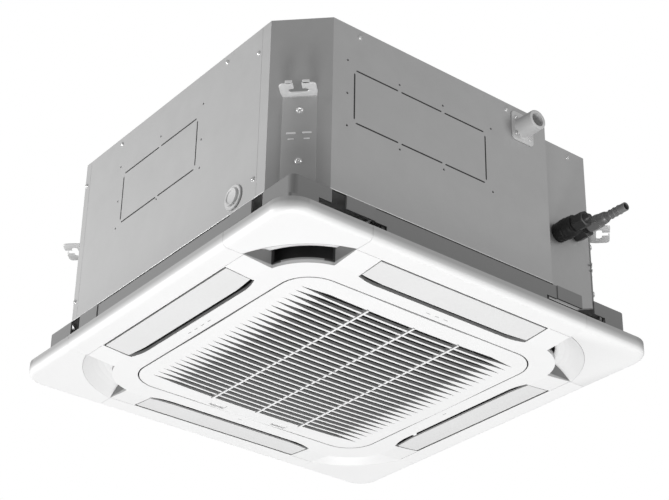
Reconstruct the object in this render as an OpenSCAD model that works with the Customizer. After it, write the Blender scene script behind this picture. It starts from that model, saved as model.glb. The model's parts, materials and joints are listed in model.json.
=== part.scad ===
// Ceiling cassette air conditioner, a square casing hung on four brackets with a louvred panel below.
// Lengths are in millimetres. Z points up, X to the right and the pipes leave on the minus Y side.
// Height zero is the underside of the hanging brackets' legs, where the ceiling rods' nuts bear.

/* [Overall] */
// Width and depth of the decorative panel
panel_w = 624; // [616:1:632]

/* [Casing] */
// How far the panel reaches beyond the casing on each side
panel_over = 27; // [25:0.5:29]
// Height of the sheet metal casing
casing_h = 260; // [254:1:272]
// Leg of each cut-off corner
corner_leg = 57.5; // [54:0.5:60]
// Thickness of the side and top sheets
sheet_t = 1.2; // [1:0.1:1.4]
// Depth of the pipe recess behind the front sheet
recess_depth = 33; // [30:1:36]
// Distance of the recess step from the right side sheet
recess_in = 135.5; // [133:0.5:137]
// Height of the casing top above the hanging plane
hang_rise = 123.5; // [110:0.5:130]
// How far the front sheet wraps onto the sides, measured from the front face
front_wrap = 75.7; // [72:0.1:80]
// How far the back sheet wraps onto the sides, measured from the back face
back_wrap = 69.7; // [66:0.1:74]
// Gap between neighbouring sheets
seam_gap = 0.4; // [0.2:0.1:0.6]
// Thickness of the foam lining
foam_t = 5.8; // [4:0.2:8]
// Thickness of the foam lid under the top sheet
foam_lid_t = 7.8; // [6:0.2:10]

/* [Duct knock-outs] */
// Height of both knock-out plates
knock_h = 80.5; // [70:0.5:90]
// Height of their lower edge above the casing's bottom
knock_z = 112; // [100:1:120]
// Width of the knock-out on the left sheet
knock_left_w = 183; // [160:1:200]
// Middle of the left knock-out along Y
knock_left_y = 26; // [10:1:40]
// Width of the knock-out on the front sheet
knock_front_w = 226; // [200:1:240]
// Distance of the front knock-out from the left side sheet
knock_front_in = 93; // [82:1:112]
// Width of the slits around a knock-out
slit_w = 1.4; // [1:0.1:2]
// Length of the bridges left between the slits
bridge_l = 5; // [3:0.5:7]
// Radius of the pilot holes around a knock-out
pilot_r = 1.6; // [1:0.1:2]

/* [Hanging brackets] */
// Width of a bracket's upright plate
hanger_w = 44; // [40:1:46]
// Thickness of the bracket steel
hanger_t = 2; // [1.5:0.5:3]
// Reach of the horizontal leg from the casing's corner face
hanger_reach = 31; // [30:0.5:33]
// Width of the horizontal leg at its root
leg_w = 47; // [46:1:50]
// Width of the open mouth of the rod slot
mouth_w = 11; // [10:0.5:12]
// Width of the pocket that holds the washer
pocket_w = 26; // [24:1:28]
// How far the bracket beside the pipe recess sits along its corner face
right_shift = 16; // [15.6:0.1:18]

/* [Panel] */
// Distance from the panel's face up to the casing
panel_h = 66.5; // [64:0.5:70]
// Height of the panel's outer lip
lip_h = 20; // [18:0.5:21]
// Rounding between the face and the lip
lip_round = 7; // [5:0.5:8]
// Corner radius of the panel
panel_corner_r = 34; // [30:1:36]
// Wall thickness of the panel mouldings
panel_t = 2.6; // [2.2:0.1:3]
// How far the centre frame lies below the outer frame
centre_drop = 3.5; // [2.5:0.5:4]
// Width of the flat face outside an air slot
face_w = 32; // [31:0.5:33]
// Distance of an air slot's ends from the panel's sides
slot_end_in = 169.7; // [168:0.1:172]
// Width of an air slot
slot_w = 51.8; // [51.2:0.2:53]
// Radius of the centre frame's round corner lobes
lobe_r = 73.5; // [72:0.5:75]
// Distance of a lobe's centre from the panel's sides
lobe_in = 147; // [146:0.5:148]
// Distance of a corner cover's seams from the panel's sides
seam_in = 130; // [128.5:0.5:131]
// Radius of the outer edge of the corner air vents
vent_r = 145.2; // [144:0.2:146]
// Depth of the corner air vents
vent_depth = 20; // [17:1:22]
// Height of the centre frame's outer wall above its face
rim_wall_h = 7.5; // [6.5:0.5:8]

/* [Collar] */
// Distance of the collar's corner parts behind the panel's sides
collar_in = 25.5; // [25:0.25:26]
// How far the collar's middle parts are set back
collar_step = 1.5; // [1:0.25:2]
// Wall thickness of the collar
collar_t = 2.4; // [2:0.1:2.6]
// Length of a corner part along each side
collar_end_l = 129.5; // [127.5:0.5:131.5]
// Distance of the collar's flange behind the panel's sides
flange_in = 13; // [12:0.5:14]
// Height of the flange's underside above the panel face
flange_z = 23.2; // [22:0.2:24]
// Thickness of the flange
flange_t = 5.6; // [5:0.2:6]
// Height of the collar's long slots above the flange
collar_slot_h = 18; // [14:1:20]
// Length of a long slot
collar_slot_l = 108; // [100:1:112]
// Distance of a long slot from the collar's corner
collar_slot_in = 40.5; // [38:0.5:46]
// Width of the collar's corner windows
window_w = 23; // [20:1:26]
// Distance of a window's middle from the collar's corner
window_in = 72; // [69.5:0.5:74.5]

/* [Louvre flaps] */
// Gap between a flap's outer edge and the slot
flap_gap = 3.2; // [3:0.1:3.6]
// Gap between a flap's ends and the slot
flap_end_gap = 1.8; // [1.4:0.1:2.4]
// Width of a flap across the air flow
flap_w = 40.5; // [38:0.5:41]
// Thickness of a flap's blade
flap_t = 2.4; // [2:0.1:2.8]
// Height of the flap's pivot above the panel face
flap_pivot_z = 6; // [5.5:0.1:6.5]
// Distance of the pivot from the slot's outer edge
flap_pivot_in = 22; // [21.5:0.1:22.6]
// Radius of the pivot pins
pin_r = 2.5; // [2:0.1:2.8]
// Radial play of pins that turn
pin_play = 0.1; // [0.05:0.01:0.1]

/* [Intake grille] */
// Distance of the hinged grille's sides from the centre frame's outer edge
grille_in = 25; // [24.2:0.1:26.2]
// Corner radius of the intake grille
grille_corner_r = 45; // [40:1:48]
// Gap between the grille and the centre frame
grille_gap = 2.1; // [1.8:0.1:2.4]
// How far the grille's middle bulges below the centre frame
grille_bulge = 5.8; // [4:0.2:6.4]
// How far the bulge's edge circle passes the grille's sides
bulge_over = 18.8; // [12:0.2:26]
// Least distance of the outermost air slot's middle from the grille's edge
first_slot_in = 28; // [27.2:0.2:34]
// Distance from one air slot to the next
slot_pitch = 13; // [12:0.1:13]
// Width of one air slot
air_slot_w = 9.4; // [8:0.2:9.6]
// Distance of an air slot's pointed end from the grille's edge
air_slot_in = 21.2; // [20.2:0.2:28]
// Length of an air slot's pointed end
slot_point_l = 44; // [30:1:60]
// Distance between the cross ribs
rib_pitch = 77.5; // [70:0.5:80]
// Width of a cross rib
rib_w = 3.2; // [2:0.2:4]
// Distance of the hinge line from the grille's front edge
hinge_in = 40; // [38.5:0.5:46]
// Height of the hinge line above the panel face
hinge_z = 2.8; // [2.6:0.1:3]
// Distance between the two latches
latch_span = 110; // [100:1:120]
// Width of a latch slide
latch_w = 24; // [20:1:26]
// Travel of a latch from open to locked
latch_travel = 5; // [4:0.5:5.5]

/* [Pipes and drain] */
// Distance of the drain outlet from the recess step
drain_in = 45; // [41:0.5:49]
// Distance of the drain outlet below the casing's top
drain_down = 32; // [30:1:38]
// Radius of the drain stub
drain_r = 13; // [12:0.5:14]
// Radius of the drain stub's bore
drain_bore_r = 10; // [8.5:0.5:10.5]
// Length of the drain stub from the sheet
drain_l = 32; // [28:1:36]
// Distance of the gas pipe from the right side sheet
gas_in = 49; // [47:0.5:51]
// Height of the gas pipe above the casing's bottom
gas_z = 125.5; // [122:0.5:130]
// Radius of the gas pipe
gas_r = 6.2; // [5.8:0.1:6.4]
// Reach of the gas pipe from the recess face
gas_reach = 96; // [88:1:100]
// Distance between the two pipes along the front
pipe_pitch = 36; // [34:0.5:39]
// Height of the liquid pipe above the casing's bottom
liquid_z = 111.5; // [108:0.5:114]
// Radius of the liquid pipe's insulating sleeve
sleeve_r = 15.5; // [14:0.5:16]
// Length of the insulating sleeve
sleeve_l = 34; // [30:1:38]
// Radius of the stepped test cap on the left sheet
cap_r = 17.5; // [16:0.5:19]
// Distance of the test cap from the front sheet
cap_in = 123.8; // [120:0.2:130]
// Height of the test cap above the casing's bottom
cap_z = 22.5; // [21:0.5:24]

/* [Fan and coil] */
// Gap between the fan wheel and the heat exchanger
fan_gap = 48; // [46:1:54]
// Number of blades on the fan wheel
fan_blades = 7; // [5:1:9]
// Distance of the fan's back plate below the motor
fan_plate_down = 26; // [20:1:30]
// Width of the fan's shroud, seen from below
shroud_w = 43; // [40:0.5:44]
// Gap between the bell mouth's throat and the fan's inlet
throat_gap = 4.5; // [4:0.5:6]
// Radius of the fan motor
motor_r = 58; // [50:1:60]
// Height of the rubber bushes that the motor hangs from
bush_h = 18.8; // [14.8:0.2:22.8]
// Height of the motor's body
motor_h = 64; // [60:1:66]
// Radius of the motor shaft
shaft_r = 6; // [5:0.5:7]
// Distance of the heat exchanger from the side sheets
coil_in = 63; // [62:0.5:65]
// Thickness of the heat exchanger
coil_t = 26; // [22:1:27]
// Gap between the heat exchanger and the foam lid
coil_gap = 13; // [9:1:31]
// Depth of the drain pan
pan_h = 44; // [40:1:48]
// Height of the trough's floor above the casing's bottom
trough_z = 20; // [16:1:24]

/* [Hidden] */
$fn = 72;
panel_r = panel_w / 2;
half = panel_r - panel_over;
casing_w = 2 * half;
casing_z = hang_rise - casing_h;
face_z = casing_z - panel_h;
corner_d = (casing_w - corner_leg) / sqrt(2);
side_h = casing_h - sheet_t;
cut = 1;
slack = 0.3;
seat = 0.05;
through = 40;
slot_r = panel_r - face_w;
slot_half = panel_r - slot_end_in;
slot_len = 2 * slot_half;
centre_r = slot_r - slot_w;
lobe_c = panel_r - lobe_in;
seam_half = panel_r - seam_in;
corner_c = panel_r - panel_corner_r;
grille_r = centre_r - grille_in;
bulge_r = grille_r + bulge_over;
grille_slots = 2 * floor((grille_r - first_slot_in) / slot_pitch) + 1;
air_slot_l = 2 * (grille_r - air_slot_in);
air_slot_full = air_slot_l - 2 * slot_point_l;
hinge_y = -grille_r + hinge_in;
flap_axis_r = slot_r - flap_pivot_in;
recess_x = half - recess_in;
recess_y = half - recess_depth;
knock_front_x = knock_front_in + knock_front_w / 2 - half;
drain_x = recess_x - drain_in;
gas_x = half - gas_in;
liquid_x = gas_x - pipe_pitch;
cap_y = cap_in - half;
drain_z = casing_h - drain_down;
motor_z = side_h - bush_h - motor_h;
fan_plate_z = motor_z - fan_plate_down;
coil_h = side_h - foam_lid_t - trough_z - coil_gap;
coil_r = half - coil_in;
fan_r = coil_r - coil_t - fan_gap;
fan_inlet_r = fan_r - shroud_w;
throat_r = fan_inlet_r - throat_gap;
board_t = 1.6;
wall_t = 2.2;
duct_in = 9.7;
duct_top = 62;
inner_wall_corner_r = 60;
end_wall_h = 24;
deck_z = 4;
deck_t = 2.5;
rib_t = 2;
boss_r = 9;
boss_bore_r = 6.5;
boss_h = 17.5;
fixing_in = 23;
fixing_at = half - fixing_in;
fixing_r = 2.5;
head_r = 5.5;
head_h = 4.5;
nut_h = 4.5;
nut_af = 10;
tab_reach = 18;
tab_back = 20;
tab_w = 36;
base_t = 2;
upstand_t = 1;
upstand_h = 20;
pan_gap = 0.2;
top_rim_h = 18;
cover_peg_r = 3;
cover_peg_l = 6.4;
peg_in = 34;
peg_pitch = 68;
peg_b = panel_r - peg_in;
peg_a = peg_b - peg_pitch;
sprung_r = 3.8;
bracket_screw_r = 5;
screw_dome = 1.6;
screw_flat = 0.8;
cross_w = 1.2;
cross_depth = 0.9;
mark_l = 7;
mark_w = 1.6;
mark_depth = 0.6;
mark_pitch = 15;
mark_in = 13.2;
mark_r = centre_r - mark_in;
frame_box_l = 2 * casing_w;

// Casing outline seen from above, set in by k on all sides
function outline(k) =
  let (h = half - k)
  let (l = corner_leg - k * (2 - sqrt(2)))
  let (ry = recess_y - k)
  let (rx = recess_x - k)
  let (cx = casing_w - corner_leg - k * sqrt(2) - ry)
  [[-(h - l), -h], [rx, -h], [rx, -ry], [cx, -ry], [h, -(h - l)], [h, h - l],
   [h - l, h], [-(h - l), h], [-h, h - l], [-h, -(h - l)]];

// Points of an arc around c from angle a0 to a1 in n steps
function arc(c, r, a0, a1, n) =
  [for (i = [0:n]) c + r * [cos(a0 + (a1 - a0) * i / n), sin(a0 + (a1 - a0) * i / n)]];

module quarter() {
  for (a = [0:90:270]) rotate([0, 0, a]) children();
}

// Block with rounded upright edges, centred, standing on height zero
module rounded_block(hx, hy, r, h) {
  linear_extrude(h) polygon([
    [hx - r, hy], [-(hx - r), hy], [-(hx - r), hy - r], [-hx, hy - r],
    [-hx, -(hy - r)], [-(hx - r), -(hy - r)], [-(hx - r), -hy], [hx - r, -hy],
    [hx - r, -(hy - r)], [hx, -(hy - r)], [hx, hy - r], [hx - r, hy - r]]);
  for (s = [[1, 1, 0], [-1, 1, 90], [-1, -1, 180], [1, -1, 270]])
    translate([s[0] * (hx - r), s[1] * (hy - r), 0])
      rotate([0, 0, s[2]]) rotate_extrude(angle = 90) square([r, h]);
}

module rounded_ring(ro, ri, co, ci, h) {
  difference() {
    rounded_block(ro, ro, co, h);
    translate([0, 0, -cut]) rounded_block(ri, ri, ci, h + 2 * cut);
  }
}

module ring_wall(k0, k1, h) {
  difference() {
    linear_extrude(h) polygon(outline(k0));
    translate([0, 0, -cut]) linear_extrude(h + 2 * cut) polygon(outline(k1));
  }
}

module bar_x(r, l) {
  rotate([0, 90, 0]) cylinder(r = r, h = l);
}

// Rod that runs towards minus Y from where it stands
module bar_y(r, l) {
  rotate([90, 0, 0]) cylinder(r = r, h = l);
}

module hex_y(af, l) {
  rotate([90, 0, 0]) cylinder(r = af / sqrt(3), h = l, $fn = 6);
}

// Domed screw head with a cross, its seat on height zero and pointing up
module screw_head(r) {
  difference() {
    rotate_extrude() polygon([[0, 0], [r, 0], [r, screw_flat],
      [r * cos(35), screw_flat + screw_dome * sin(35)],
      [r * cos(65), screw_flat + screw_dome * sin(65)], [0, screw_flat + screw_dome]]);
    for (a = [0, 90]) rotate([0, 0, a])
      translate([-r * cos(60), -cross_w / 2, screw_flat + screw_dome - cross_depth])
        cube([2 * r * cos(60), cross_w, screw_dome]);
  }
}

// Places a child that points up so that it points out of the front face
module on_front(x, z) {
  translate([x, -half, z]) rotate([90, 0, 0]) children();
}

module on_left(y, z) {
  translate([-half, y, z]) rotate([0, -90, 0]) children();
}

module on_right(y, z) {
  translate([half, y, z]) rotate([0, 90, 0]) children();
}

module on_back(x, z) {
  translate([x, half, z]) rotate([-90, 0, 0]) children();
}

// Slits of a knock-out of n plates, cut through a sheet that faces minus Y
module knockout(w, h, n) {
  seg = w / n;
  for (i = [0:n - 1])
    for (v = [0, h])
      translate([i * seg + bridge_l / 2, -cut, v - slit_w / 2])
        cube([seg - bridge_l, sheet_t + 2 * cut, slit_w]);
  for (u = [0, w])
    translate([u - slit_w / 2, -cut, bridge_l])
      cube([slit_w, sheet_t + 2 * cut, h - 2 * bridge_l]);
}

module pilot_hole(x, z) {
  translate([x, sheet_t + cut, z]) bar_y(pilot_r, sheet_t + 2 * cut);
}

pilot_side = 11.5;
pilot_up = 11;
pilot_down = 9;
pilot_left_up = 17;
pilot_left_down = 4;

module front_knockout() {
  translate([knock_front_x - knock_front_w / 2, -half, knock_z]) {
    knockout(knock_front_w, knock_h, 3);
    for (i = [0:3]) {
      x = i == 0 ? -pilot_side : i == 3 ? knock_front_w + pilot_side : i * knock_front_w / 3;
      pilot_hole(x, knock_h + pilot_up);
      pilot_hole(x, -pilot_down);
    }
    pilot_hole(-pilot_side, knock_h / 2);
  }
}

module left_knockout() {
  rotate([0, 0, -90])
    translate([-knock_left_y - knock_left_w / 2, -half, knock_z]) {
      knockout(knock_left_w, knock_h, 2);
      for (x = [-pilot_side, knock_left_w / 2, knock_left_w + pilot_side]) {
        pilot_hole(x, knock_h + pilot_left_up);
        pilot_hole(x, -pilot_left_down);
      }
      for (x = [-pilot_side, knock_left_w + pilot_side]) pilot_hole(x, knock_h / 2);
    }
}

pipe_hole_r = 12;
sleeve_hole_r = 12;

// Clearance in the lower edge of the corner sheets for the tabs of the base ring
module tab_notches() {
  for (a = [45:90:315]) rotate([0, 0, a])
    translate([corner_d - tab_back, -tab_w / 2 - slack, -cut])
      cube([2 * tab_back, tab_w + 2 * slack, base_t + cut + slack]);
}

module side_front() {
  color("silver") translate([0, 0, casing_z]) difference() {
    intersection() {
      ring_wall(0, sheet_t, side_h);
      translate([-frame_box_l / 2, -frame_box_l / 2, -cut])
        cube([frame_box_l, frame_box_l / 2 - half + front_wrap, casing_h]);
    }
    front_knockout();
    tab_notches();
    translate([drain_x, -half + sheet_t + cut, drain_z]) bar_y(drain_bore_r, sheet_t + 2 * cut);
    translate([gas_x, -recess_y + sheet_t + cut, gas_z]) bar_y(pipe_hole_r, sheet_t + 2 * cut);
    translate([liquid_x, -recess_y + sheet_t + cut, liquid_z]) bar_y(sleeve_hole_r, sheet_t + 2 * cut);
  }
}

side_run = casing_w - front_wrap - back_wrap - 2 * seam_gap;

module side_band(s) {
  intersection() {
    ring_wall(0, sheet_t, side_h);
    translate([s > 0 ? 0 : -casing_w, -half + front_wrap + seam_gap, -cut])
      cube([casing_w, side_run, casing_h]);
  }
}

cap_hole_r = 12;

module side_left() {
  color("gainsboro") translate([0, 0, casing_z]) difference() {
    side_band(-1);
    left_knockout();
    translate([-half - cut, cap_y, cap_z]) bar_x(cap_hole_r, sheet_t + 2 * cut);
  }
}

module side_right() {
  color("gainsboro") translate([0, 0, casing_z]) side_band(1);
}

module side_back() {
  color("silver") translate([0, 0, casing_z]) difference() {
    intersection() {
      ring_wall(0, sheet_t, side_h);
      translate([-frame_box_l / 2, half - back_wrap, -cut]) cube([frame_box_l, casing_w, casing_h]);
    }
    tab_notches();
  }
}

bead_w = 14;
bead_h = 1.6;
bead_in = 95;
bead_half = half - bead_in;
bead_ring_r = 120;
bush_ring_r = 62;
bush_r = 8;

// Folded rim of the top sheet, inside the side sheets
module top_rim() {
  color("silver") translate([0, 0, casing_z + side_h - top_rim_h])
    ring_wall(sheet_t, sheet_t + upstand_t, top_rim_h);
}

// Top sheet with pressed beads
module top_sheet() {
  color("silver") translate([0, 0, casing_z]) {
    translate([0, 0, side_h]) linear_extrude(sheet_t) polygon(outline(0));
    translate([0, 0, casing_h]) difference() {
      cylinder(r = bead_ring_r, h = bead_h);
      translate([0, 0, -cut]) cylinder(r = bead_ring_r - bead_w, h = bead_h + 2 * cut);
    }
    translate([0, 0, casing_h]) quarter()
      translate([bead_ring_r + bead_w, -bead_w / 2, 0])
        cube([bead_half - bead_ring_r, bead_w, bead_h]);
  }
}

// Bottom ring that the panel is screwed to, with an upstand inside the side sheets
module base_ring() {
  color("silver") translate([0, 0, casing_z]) {
    difference() {
      union() {
        linear_extrude(base_t) polygon(outline(sheet_t));
        for (a = [45:90:315]) rotate([0, 0, a])
          translate([corner_d - tab_back, -tab_w / 2, 0]) cube([tab_back + tab_reach, tab_w, base_t]);
      }
      translate([0, 0, -cut]) rounded_block(centre_r - cut, centre_r - cut, duct_in, base_t + 2 * cut);
      quarter() translate([centre_r - 2 * cut, -slot_half - wall_t, -cut])
        cube([slot_r - centre_r + 3 * cut, slot_len + 2 * wall_t, base_t + 2 * cut]);
      quarter() translate([fixing_at, fixing_at, -cut])
        cylinder(r = fixing_r + 2 * pin_play, h = base_t + 2 * cut);
    }
    difference() {
      translate([0, 0, base_t]) ring_wall(sheet_t, sheet_t + upstand_t, upstand_h - base_t);
      translate([-half, cap_y, cap_z]) bar_x(cap_hole_r, 2 * lining_k);
    }
  }
}

pocket_at = 15.8;
pocket_d = 8.4;
ear_at = 25.2;
ear_y = 12.4;
ear_l = 12;
ear_d = 5.2;
ear_lip_t = 1.4;
ear_lip_h = 4;
ear_round = 5.5;
ear_in = 7.7;
lance_l = 12;
lance_h = 2.6;
lance_out = 1.2;
lance_y = 10;
lance_z = -54;
lance_low_z = -63;
lance_low_l = 8;
lance_low_h = 1.8;
leg_taper_at = 12;

module stadium(l, d, h) {
  translate([-d / 2, -(l - d) / 2, 0]) cube([d, l - d, h]);
  for (s = [-1, 1]) translate([0, s * (l - d) / 2, 0]) cylinder(r = d / 2, h = h);
}

// One bracket, its root on the casing's corner face and its leg reaching along X
module hanger() {
  translate([0, -hanger_w / 2, casing_z + base_t + seat])
    cube([hanger_t, hanger_w, hanger_t - casing_z - base_t - seat]);
  difference() {
    linear_extrude(hanger_t) polygon([
      [0, -hanger_w / 2], [leg_taper_at, -leg_w / 2],
        [hanger_reach - ear_round, -leg_w / 2 + ear_round / 2],
      [hanger_reach, -leg_w / 2 + ear_in], [hanger_reach, leg_w / 2 - ear_in],
      [hanger_reach - ear_round, leg_w / 2 - ear_round / 2], [leg_taper_at, leg_w / 2],
        [0, hanger_w / 2]]);
    translate([pocket_at, -mouth_w / 2, -cut]) cube([hanger_reach, mouth_w, hanger_t + 2 * cut]);
    translate([pocket_at, 0, -cut]) stadium(pocket_w, pocket_d, hanger_t + 2 * cut);
    for (s = [-1, 1]) translate([ear_at, s * ear_y, -cut]) stadium(ear_l, ear_d, hanger_t + 2 * cut);
  }
  for (s = [-1, 1])
    translate([hanger_reach - ear_lip_t, s > 0 ? mouth_w / 2 : -leg_w / 2 + ear_in, 0])
      cube([ear_lip_t, leg_w / 2 - ear_in - mouth_w / 2, hanger_t + ear_lip_h]);
  for (s = [-1, 1]) {
    translate([hanger_t, s * lance_y - lance_l / 2, lance_z - lance_h / 2])
      cube([lance_out, lance_l, lance_h]);
    translate([hanger_t, s * lance_y - lance_low_l / 2, lance_low_z - lance_low_h / 2])
      cube([lance_out / 2, lance_low_l, lance_low_h]);
  }
}

module hanger_brackets() {
  color("whitesmoke") for (a = [45:90:315]) rotate([0, 0, a])
    translate([corner_d + seat, a == 315 ? right_shift : 0, 0]) hanger();
}

side_screw_in = 83;
side_screw_y = side_screw_in - half;
side_screw_down = 37.5;
side_screw_hi = casing_h - side_screw_down;
side_screw_lo = 30.5;
strip_screw_in = 61.5;
strip_screw_y = half - strip_screw_in;
top_screw_down = 12;
top_screw_z = casing_h - top_screw_down;
top_screw_y = 130;
front_screw_in = 101;
step_screw_in = 73.9;
recess_screw_in = 58;
front_screw_a = front_screw_in - half;
front_screw_b = recess_x - step_screw_in;
recess_screw_x = half - recess_screw_in;
bracket_screw_hi = -20;
bracket_screw_lo = -95.5;

// All the screw heads on the outside of the casing
module casing_screws() {
  color("white") {
    translate([0, 0, casing_z]) {
      for (z = [side_screw_lo, side_screw_hi]) {
        on_left(side_screw_y, z) screw_head(sprung_r);
        on_left(strip_screw_y, z) screw_head(sprung_r);
        on_right(side_screw_y, z) screw_head(sprung_r);
        on_right(strip_screw_y, z) screw_head(sprung_r);
      }
      for (y = [-top_screw_y, top_screw_y]) {
        on_left(y, top_screw_z) screw_head(sprung_r);
        on_right(y, top_screw_z) screw_head(sprung_r);
        on_back(y, top_screw_z) screw_head(sprung_r);
      }
      for (x = [front_screw_a, front_screw_b]) on_front(x, top_screw_z) screw_head(sprung_r);
      translate([0, recess_depth, 0]) on_front(recess_screw_x, top_screw_z) screw_head(sprung_r);
    }
    for (a = [45:90:315]) rotate([0, 0, a]) for (z = [bracket_screw_lo, bracket_screw_hi])
      translate([corner_d + seat + hanger_t, a == 315 ? right_shift : 0, z])
        rotate([0, 90, 0]) screw_head(bracket_screw_r);
  }
}

motor_opening_r = 75;
foam_hole_gap = 3;
lining_k = sheet_t + upstand_t;

// Foam lining with its lid, open where the motor hangs and where the pipes pass
module foam_lining() {
  color("dimgray") translate([0, 0, casing_z]) difference() {
    union() {
      translate([0, 0, base_t + pan_h])
        ring_wall(lining_k, lining_k + foam_t, side_h - foam_lid_t - base_t - pan_h);
      translate([0, 0, side_h - foam_lid_t]) linear_extrude(foam_lid_t) polygon(outline(lining_k));
    }
    translate([0, 0, side_h - foam_lid_t - cut]) cylinder(r = motor_opening_r, h = foam_lid_t + 2 * cut);
    translate([drain_x, -half + through, drain_z]) bar_y(drain_bore_r + foam_hole_gap, through);
    translate([gas_x, -recess_y + through, gas_z]) bar_y(pipe_hole_r, through);
    translate([liquid_x, -recess_y + through, liquid_z]) bar_y(sleeve_hole_r, through);
  }
}

pan_duct_in = 5;
pan_duct_out = 3;
pan_duct_end = 4.3;
pan_duct_half = slot_half - pan_duct_end;
pan_duct_near = centre_r + pan_duct_in;
pan_duct_far = slot_r - pan_duct_out;
trough_gap = 5.5;
trough_corner = 46;
sump_r = 24;

// Test bore from the casing's left side into the trough
module pan_test_bore() {
  translate([-half, cap_y, cap_z - base_t]) bar_x(cap_hole_r, half - coil_r + coil_t / 2);
}

// Drain pan of rigid foam, inside the four air passages: a trough under the coil, a sump under
// the pump and a hole for the bell mouth
module drain_pan() {
  color("white") translate([0, 0, casing_z + base_t]) difference() {
    translate([-pan_duct_near, -pan_duct_near, 0])
      cube([2 * pan_duct_near, 2 * pan_duct_near, pan_h]);
    translate([0, 0, -cut]) cylinder(r = pan_hole_r, h = pan_h + 2 * cut);
    translate([0, 0, trough_z - base_t]) difference() {
      rounded_block(coil_r + trough_gap, coil_r + trough_gap, trough_corner, pan_h);
      translate([0, 0, -cut])
        rounded_block(coil_r - coil_t - trough_gap, coil_r - coil_t - trough_gap,
        trough_corner - coil_t, pan_h + 2 * cut);
    }
    pan_test_bore();
    translate([pump_x, pump_y, trough_z - base_t]) cylinder(r = sump_r, h = pan_h);
  }
}

// Outer part of the drain pan: a wall outside each air passage and a block in each corner
module pan_rim() {
  inner = pan_duct_near + seat;
  color("white") translate([0, 0, casing_z + base_t]) difference() {
    linear_extrude(pan_h) polygon(outline(lining_k + pan_gap));
    translate([-inner, -inner, -cut]) cube([2 * inner, 2 * inner, pan_h + 2 * cut]);
    quarter() translate([centre_r, -pan_duct_half, -cut])
      cube([pan_duct_far - centre_r, 2 * pan_duct_half, pan_h + 2 * cut]);
    quarter() for (s = [-1, 1]) scale([1, s, 1])
      translate([centre_r, pan_duct_half - seat, -cut]) cube([half - centre_r, seat, pan_h + 2 * cut]);
    pan_test_bore();
  }
}

bell_r = 44;
bell_t = 2;
pan_hole_gap = 5.5;
bell_flange_w = 20;
pan_hole_r = throat_r + bell_r + pan_hole_gap;
bell_flange_r = pan_hole_r + bell_flange_w;

module bell_mouth() {
  c = [throat_r + bell_r, bell_r];
  color("dimgray") translate([0, 0, casing_z]) rotate_extrude() polygon(concat(
    [[bell_flange_r, bell_t], [bell_flange_r, 0]],
    arc(c, bell_r, 270, 180, 8),
    arc(c, bell_r - bell_t, 180, 270, 8)));
}

ear_ring_r = 70;
motor_ear_t = 4;
motor_bore_l = 26;
motor_cap_r = 30;
motor_cap_h = 8;

module fan_motor() {
  color("gray") translate([0, 0, casing_z + motor_z]) difference() {
    union() {
      cylinder(r = motor_r, h = motor_h);
      translate([0, 0, motor_h]) cylinder(r = motor_cap_r, h = motor_cap_h);
      for (a = [30:120:270]) rotate([0, 0, a])
        translate([0, -bush_r, motor_h - motor_ear_t]) cube([ear_ring_r, 2 * bush_r, motor_ear_t]);
    }
    translate([0, 0, -cut]) cylinder(r = shaft_r + pin_play / 2, h = motor_bore_l + cut);
  }
}

module motor_bushes() {
  color("black") translate([0, 0, casing_z + motor_z + motor_h])
    for (a = [30:120:270]) rotate([0, 0, a]) translate([bush_ring_r, 0, 0])
      cylinder(r = bush_r, h = bush_h);
}

hub_r = 16;
hub_low = 25;
hub_up = 15;
blade_t = 2;
blade_in = 3;
blade_over = 5;
blade_in_r = fan_inlet_r - blade_over;
blade_out_r = fan_r - blade_in;
blade_sweep = 28;
blade_steps = 5;
shroud_t = 2.4;
shroud_z = 36;
shroud_rise = 30;
shroud_bend_shares = [[0.07, 0.5], [0.28, 0.8]];
shaft_end = 6;
shaft_low = fan_plate_z - hub_low - shaft_end;
fan_plate_t = 2.5;
shaft_in = 25;

function blade_point(i, side) =
  let (f = i / blade_steps)
  let (r = blade_in_r + (blade_out_r - blade_in_r) * f)
  let (a = blade_sweep * sin(90 * f) + side * blade_t / r * 180 / PI)
  [r * cos(a), r * sin(a)];

// Point on the underside of the shroud, by its share of the run outwards and of the rise
function shroud_at(share) =
  [fan_inlet_r + shroud_t + (fan_r - fan_inlet_r - shroud_t) * share[0],
    shroud_z + shroud_rise * share[1]];

blade_foot = shroud_at(shroud_bend_shares[1]) + [-shroud_t, shroud_t + seat];
blade_toe = shroud_at([1, 1]) + [0, shroud_t + seat];

// Back plate of the fan wheel with its hub
module fan_hub() {
  color("dimgray") translate([0, 0, casing_z]) difference() {
    union() {
      translate([0, 0, fan_plate_z]) cylinder(r = fan_r, h = fan_plate_t);
      translate([0, 0, fan_plate_z - hub_low]) cylinder(r = hub_r, h = hub_low + hub_up);
    }
    translate([0, 0, shaft_low - cut]) cylinder(r = shaft_r, h = motor_z);
  }
}

// Swept blades between the back plate and the shroud
module fan_blades() {
  color("dimgray") translate([0, 0, casing_z]) for (b = [0:fan_blades - 1])
    rotate([0, 0, b * 360 / fan_blades])
    intersection() {
      translate([0, 0, blade_foot[1]]) linear_extrude(fan_plate_z - blade_foot[1]) polygon(concat(
        [for (i = [0:blade_steps]) blade_point(i, 0)],
        [for (i = [blade_steps:-1:0]) blade_point(i, 1)]));
      rotate_extrude() polygon([
        [0, blade_foot[1]], blade_foot, blade_toe, [fan_r, fan_plate_z], [0, fan_plate_z]]);
    }
}

// Inlet shroud under the blades, around the top of the bell mouth
module fan_shroud() {
  color("dimgray") translate([0, 0, casing_z]) rotate_extrude() polygon([
    [fan_inlet_r, shroud_z], shroud_at([0, 0]), shroud_at(shroud_bend_shares[0]),
      shroud_at(shroud_bend_shares[1]),
    shroud_at([1, 1]), shroud_at([1, 1]) + [0, shroud_t],
      shroud_at(shroud_bend_shares[1]) + [-shroud_t, shroud_t],
    shroud_at(shroud_bend_shares[0]) + [-shroud_t, shroud_t]]);
}

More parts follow.
